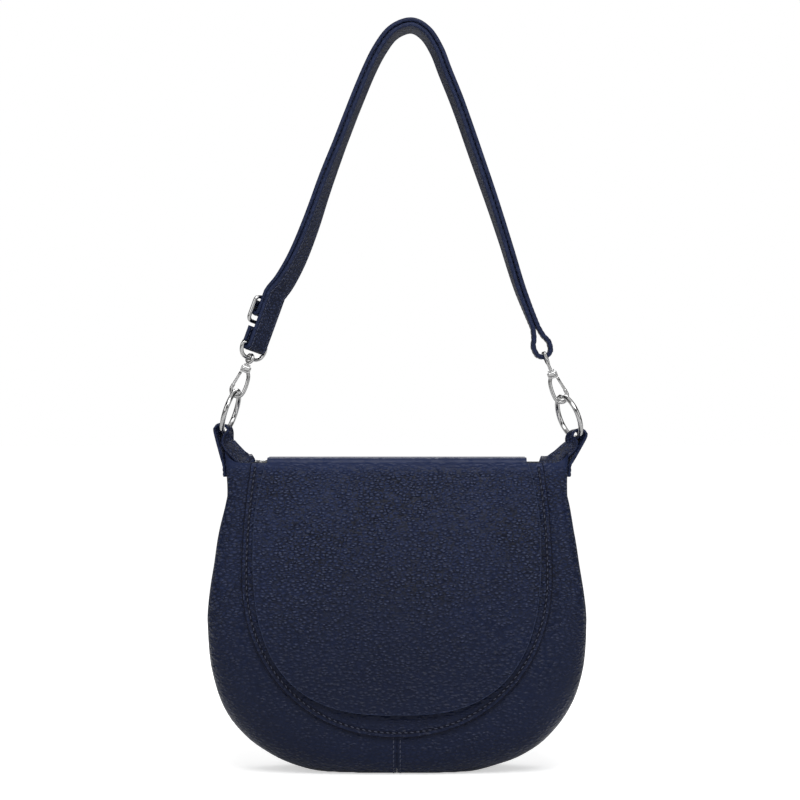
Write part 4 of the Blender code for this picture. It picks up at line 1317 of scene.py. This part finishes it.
# Rings, their leather tabs, and the strap's hardware
def ring_frame(sign, x, z, lean, yaw):
    along = leaning(-sign * lean)
    outward = sign * along.cross(-ACROSS).normalized()
    if outward.x * sign < 0:
        outward.negate()
    angle = radians(yaw)
    near = -ACROSS * cos(angle) + outward * sin(angle)
    return Vector((x, 0, z)), along, along.cross(near).normalized()


RINGS = {side: ring_frame(*numbers) for side, numbers in RING_PLACES.items()}
RING_POINTS = 96

# Each turn of a tab: inward, rise and forward from the ring's foot, and degrees
TAB_LEAN_SHARE = 0.30
TAB_FOLD_STEPS = 6
OVER_TURNS = (0, -4, -10, -18, -30, -34, -24, -6, 6, 14)
TAB_TURNS = {"left": ((0.0051, 0.0000, 0.0000, 22), (0.0036, -0.0054, 0.0010, 56),
                      (0.0046, -0.0095, 0.0020, 75), (0.0107, -0.0163, 0.0040, 80),
                      (0.0157, -0.0205, 0.0050, 70), (0.0209, -0.0216, 0.0050, 48),
                      (0.0249, -0.0201, 0.0045, 25)),
             "right": ((0.0056, 0.0000, 0.0000, 34), (0.0048, -0.0058, 0.0015, 70),
                       (0.0104, -0.0112, 0.0030, 75), (0.0171, -0.0165, 0.0048, 68),
                       (0.0236, -0.0190, 0.0052, 45), (0.0306, -0.0177, 0.0045, 22))}
TAB_STEPS = 7
TAB_SEWN_IN = 0.0019
TAB_BLEND = ((0, 0, 0.256), (0, 0, 0.272))
TAB_STITCH_TOP_Z = 0.262


def ring_piece(side):
    centre, along, normal = RINGS[side]
    line = circle(centre, along * RING_RADIUS, normal.cross(along) * RING_RADIUS, RING_POINTS)
    metal(f"ring_{side}_wire", [tube_part(line, RING_WIRE, closed=True, sides=24, up=normal)],
          f"ring_{side}", f"ring_{side}")


def tab_stations(side, sign):
    """From the border's outside over the ring's foot, then twisting down to the top edge."""
    centre, along, normal = RINGS[side]
    foot = centre - along * RING_RADIUS
    radius = RING_WIRE + TAB_LOOP_ROOM + TAB_LEATHER / 2
    wall = SIDE.high(TOP_Z) + 2 * FIT + TAB_LEATHER / 2
    held = [Vector((sign * wall, 0, TAB_FOOT_Z + TAB_HOLD * share)) for share in (0, 0.5, 1)]
    over = fold(foot + along * RING_WIRE / 2, AXES[0] * sign, UP, radius, TAB_FOLD_STEPS)[:-1]
    places = held + [held[-1].lerp(over[0], TAB_LEAN_SHARE)] + over
    places += [foot + Vector((-sign * inward, -forward, rise))
               for inward, rise, forward, _ in TAB_TURNS[side]]
    degrees = [Vector((turn, 0, 0)) for turn in OVER_TURNS + tuple(
        turn for _, _, _, turn in TAB_TURNS[side])]
    line = smooth_path(places, TAB_STEPS)
    stations = []
    for i, (point, turn) in enumerate(zip(line, smooth_path(degrees, TAB_STEPS))):
        upper = tangent_at(line, i).cross(ACROSS) * -sign
        turn = radians(turn.x)
        stations.append((point, ACROSS * cos(turn) + upper * sin(turn)))
    return clean_stations(stations)


def tab_piece(side, sign):
    stations = tab_stations(side, sign)
    piece = band_piece(f"tab_{side}_leather", stations, TAB_WIDTH, TAB_LEATHER, TAB_SEWN_IN)
    blend_piece(piece, "strap_leather", f"ring_tab_{side}", ("shell", "strap"), *TAB_BLEND)
    third, half = len(stations) // 3, len(stations) // 2
    low, top = [[pair for pair in part if pair[0].z < TAB_STITCH_TOP_Z]
                for part in (stations[:third], stations[half:])]
    tracks = [track for run in (low, top[:-3])
              for track in band_tracks(run, TAB_LEATHER, TAB_WIDTH / 2 - TAB_SEWN_IN)]
    stitch_row(f"tab_{side}_stitching", tracks, slot="strap_leather", pitch=0.0034,
               length=0.0025, thread=0.0006)


for side, sign in (("left", -1), ("right", 1)):
    ring_piece(side)
    tab_piece(side, sign)


def d_points(count=40):
    points = []
    for share in steps_to(count):
        wide = rounded(cos(pi * share), 2 / D_POWER)
        drop = max(sin(pi * share), 0.0) ** (2 / D_POWER)
        points.append(D_BAR + TAIL_ACROSS * D_HALF_WIDTH * wide - TAIL_UP * D_DEPTH * drop)
    return points + [points[-1].lerp(points[0], k / 6) for k in range(1, 6)]


def buckle_points():
    points = []
    for sign_w, sign_t in ((1, 1), (-1, 1), (-1, -1), (1, -1)):
        for share in steps_to(8):
            turn = pi / 2 * (share if sign_w * sign_t > 0 else 1 - share)
            w = D_HALF_WIDTH - BUCKLE_CORNER * (1 - cos(turn))
            t = BUCKLE_HALF_LENGTH - BUCKLE_CORNER * (1 - sin(turn))
            points.append(BUCKLE + TAIL_ACROSS * w * sign_w + TAIL_UP * t * sign_t)
    return points


bar_reach = TAIL_ACROSS * (D_HALF_WIDTH - BUCKLE_WIRE - FIT)
for name, points, wire, closed in (
        ("d_ring", d_points(), D_WIRE, True),
        ("buckle_frame", buckle_points(), BUCKLE_WIRE, True),
        ("buckle_bar", [BUCKLE - bar_reach, BUCKLE, BUCKLE + bar_reach], BUCKLE_WIRE, False)):
    metal(f"{name}_wire", [tube_part(points, wire, closed, sides=20)], "strap", name)

HEAD_SHARE = HOOK_PATH_SHARES[-1][1]
WIRE_CAP = 0.97
BALL_CUT = 0.98
BALL_STEPS = 9
PIN_IN = 0.22
PIN_PROFILE = [(-0.0004, 0.0010), (0.0001, 0.0010), (0.00026, 0.0007)]


def ball_profile(radius):
    reach = asin(BALL_CUT)
    angles = [reach * (2 * share - 1) for share in steps_to(BALL_STEPS)]
    return [(radius * sin(angle), radius * cos(angle)) for angle in angles]


def hook_frame(side):
    centre, along, normal = RINGS[side]
    foot = centre + along * RING_RADIUS
    eye = D_BAR - TAIL_UP * D_DEPTH if side == "left" else WIDE_EYE_BAR
    up = (eye - foot).normalized()
    spine = ACROSS.cross(up) if side == "left" else up.cross(ACROSS)
    return foot, up, spine, eye


def hook_pieces(side):
    """A snap hook: a swept body, a head with its pin, and a sprung gate."""
    foot, up, spine, eye = hook_frame(side)

    def at(u, v):
        return foot + (spine * u + up * v) * HOOK_LENGTH

    line = smooth_path([at(u, v) for u, v in HOOK_PATH_SHARES], 8)
    count = len(line)
    sizes = [HOOK_WIRE * min(0.86 + 0.14 * min(i / 12, 1.0)
                             + 0.10 * sin(pi * i / count), WIRE_CAP)
             for i in range(count)]
    head = at(0, HEAD_SHARE)
    parts = [tube_part(line, sizes, sides=18),
             block_part(head, (HEAD_WIDTH, HEAD_DEPTH, HEAD_HEIGHT), HEAD_HEIGHT / 4, 4,
                        (spine, ACROSS, up)),
             lathe_part(line[0], line[0] - line[1], ball_profile(HOOK_WIRE * BALL_CUT), 24)]
    for way in (-1, 1):
        start = head - spine * HEAD_WIDTH * PIN_IN + ACROSS * (way * HEAD_DEPTH / 2)
        parts.append(lathe_part(start, ACROSS * way, PIN_PROFILE))
    metal(f"hook_{side}_body", parts, f"hook_{side}", f"hook_{side}")
    pin = at(*GATE_TOP_SHARES)
    low = at(*GATE_FOOT_SHARES)
    span = (low - pin).length
    gate = [(0.0, GATE_WIRE * 0.8), (0.0006, GATE_WIRE), (span * 0.5, GATE_WIRE * 0.9),
            (span * 0.85, GATE_WIRE), (span, GATE_WIRE * 0.95)]
    metal(f"gate_{side}_lever", [lathe_part(pin, low - pin, gate)], f"gate_{side}",
          f"gate_{side}")


def wide_eye_points(eye, up):
    """The flat-topped eye, with its corners rounded."""
    rough = [eye + ACROSS * WIDE_EYE_HALF * w - up * WIDE_EYE_DEPTH * t
             for w, t in WIDE_EYE_SHARES]
    points = []
    for a, b, c in zip(rough[-1:] + rough, rough, rough[1:] + rough[:1]):
        cut = min((a - b).length, (c - b).length) * 0.35
        start = b + (a - b).normalized() * cut
        end = b + (c - b).normalized() * cut
        points += [start.lerp(b, t).lerp(b.lerp(end, t), t) for t in (0, 0.33, 0.67, 1)]
    return points


def eye_piece(side):
    """The swivel: an eye on a post whose collar sits on the hook's head."""
    foot, up, spine, eye = hook_frame(side)
    base = foot + up * (HOOK_LENGTH * HEAD_SHARE + HEAD_HEIGHT / 2 + FIT)
    if side == "left":
        side_way = (TAIL_ACROSS - up * TAIL_ACROSS.dot(up)).normalized()
        points = circle(eye, side_way.cross(up) * SMALL_EYE_RADIUS, up * SMALL_EYE_RADIUS, 48)
        drop = SMALL_EYE_RADIUS
    else:
        points = wide_eye_points(eye, up)
        drop = WIDE_EYE_DEPTH
    length = (eye - up * drop - base).length
    post = [(FIT, POST_RADIUS), (length * 0.7, POST_RADIUS * 0.9), (length, POST_RADIUS)]
    collar = [(0.0, COLLAR_RADIUS * 0.85), (0.0003, COLLAR_RADIUS),
              (COLLAR_HEIGHT - 0.0003, COLLAR_RADIUS), (COLLAR_HEIGHT, COLLAR_RADIUS * 0.8)]
    metal(f"hook_eye_{side}_wire", [tube_part(points, EYE_WIRE, closed=True, sides=18),
                                    lathe_part(base, up, post), lathe_part(base, up, collar, 28)],
          "strap", f"hook_eye_{side}")


for side in ("left", "right"):
    hook_pieces(side)
    eye_piece(side)

# Snap and base board keep their shapes and get finished materials
for node, material in (("snap_socket", CHROME_MAT), ("snap_stud", CHROME_MAT),
                       ("base_board", BOARD_MAT)):
    thing = bpy.data.objects[node]
    thing.data.materials.clear()
    thing.data.materials.append(material)

# Floor, light and camera
PHOTO_SCALE = 0.000816
PHOTO_WIDTH = 800
SENSOR = 36.0
BAG_FRONT = 0.008
CAMERA_PLACE = (0.0025, -2.2, 0.3013)
WORLD_STRENGTH = 0.32
GLOSSY_FLOOR_SHARE = 0.12
FLOOR_SIZE = 30
FLOOR_Z = -0.0008
FLOOR_GLOW_NEAR = 0.56
FLOOR_GLOW_FAR = 0.80
WHITE = (1.0, 1.0, 1.0, 1.0)
LIGHTS = (("top_light", (0.1, -1.05, 1.35), (0, 0, 0.15), 1.0, 13.0),
          ("left_light", (-1.1, -1.1, 0.9), (0, 0, 0.2), 0.8, 4.0),
          ("right_light", (1.2, -0.9, 0.7), (0, 0, 0.2), 0.8, 3.0),
          ("back_light", (0.0, 1.2, 1.3), (0, 0, 0.2), 1.0, 9.0))


def floor_material():
    """White floor that keeps the soft shadow under the bag."""
    tree, place = new_tree("white_floor")
    path = tree.add("LightPath").outputs
    seen = tree.math("MAXIMUM", path["Is Camera Ray"],
                     tree.math("MULTIPLY", path["Is Glossy Ray"], GLOSSY_FLOOR_SHARE))
    reach = tree.add("VectorMath", {0: tree.add("NewGeometry").outputs["Position"]},
                     operation="LENGTH")
    glow = tree.spread(reach.outputs["Value"], 0.18, 1.5, FLOOR_GLOW_NEAR, FLOOR_GLOW_FAR)
    return tree.finish({
        "Base Color": tree.mix(tree.noise(place, 40.0), (0.80, 0.80, 0.80, 1.0),
                               (0.82, 0.82, 0.82, 1.0)),
        "Roughness": 0.95, "Specular IOR Level": 0.0, "Emission Color": WHITE,
        "Emission Strength": tree.math("MULTIPLY", seen, glow)})


def make_floor():
    bpy.ops.mesh.primitive_plane_add(size=1)
    floor = bpy.context.object
    floor.name = "floor"
    floor.scale = (FLOOR_SIZE, FLOOR_SIZE, 1)
    floor.location = (0, 0, FLOOR_Z)
    floor.data.materials.append(floor_material())


def make_world():
    """White to the camera, plain soft light on the bag, screens and gaps in the chrome."""
    world = bpy.data.worlds.new("studio")
    bpy.context.scene.world = world
    tree = Tree(world, "Background")
    ways = tree.add("SeparateXYZ", {0: tree.add("TexCoord").outputs["Generated"]}).outputs
    over = tree.spread(ways[2], 0.66, 0.78, 0.0, 0.8)
    sides = tree.math("MULTIPLY", tree.spread(tree.math("ABSOLUTE", ways[0]), 0.74, 0.82, 0.0,
                                              0.25), tree.spread(ways[1], -0.2, 0.3, 1.0, 0.0))
    front = tree.spread(ways[1], -0.985, -0.955, 0.95, 0.0)
    seen = tree.math("MAXIMUM", tree.math("MAXIMUM", over, sides), front)
    seen = tree.math("ADD", tree.math("MULTIPLY", seen, 0.95), 0.03)
    path = tree.add("LightPath").outputs
    glossy = path["Is Glossy Ray"]
    plain = tree.math("MULTIPLY", tree.math("SUBTRACT", 1.0, glossy), WORLD_STRENGTH)
    strength = tree.math("ADD", tree.math("MULTIPLY", seen, glossy), plain)
    tree.finish({"Color": WHITE,
                 "Strength": tree.math("MAXIMUM", strength, path["Is Camera Ray"])})


def placed(name, data, place):
    thing = bpy.data.objects.new(name, data)
    bpy.context.scene.collection.objects.link(thing)
    thing.location = place
    return thing


def area_light(name, place, target, size, power):
    data = bpy.data.lights.new(name, "AREA")
    data.energy = power
    data.size = size
    aim = Vector(target) - Vector(place)
    placed(name, data, place).rotation_euler = aim.to_track_quat("-Z", "Y").to_euler()


def make_camera():
    data = bpy.data.cameras.new("camera")
    data.sensor_width = SENSOR
    data.sensor_fit = "HORIZONTAL"
    data.lens = SENSOR * (-CAMERA_PLACE[1] - BAG_FRONT) / (PHOTO_WIDTH * PHOTO_SCALE)
    camera = placed("camera", data, CAMERA_PLACE)
    camera.rotation_euler = (radians(90), 0, 0)
    bpy.context.scene.camera = camera


make_floor()
make_world()
for numbers in LIGHTS:
    area_light(*numbers)
make_camera()

bpy.context.scene.view_settings.view_transform = "Standard"
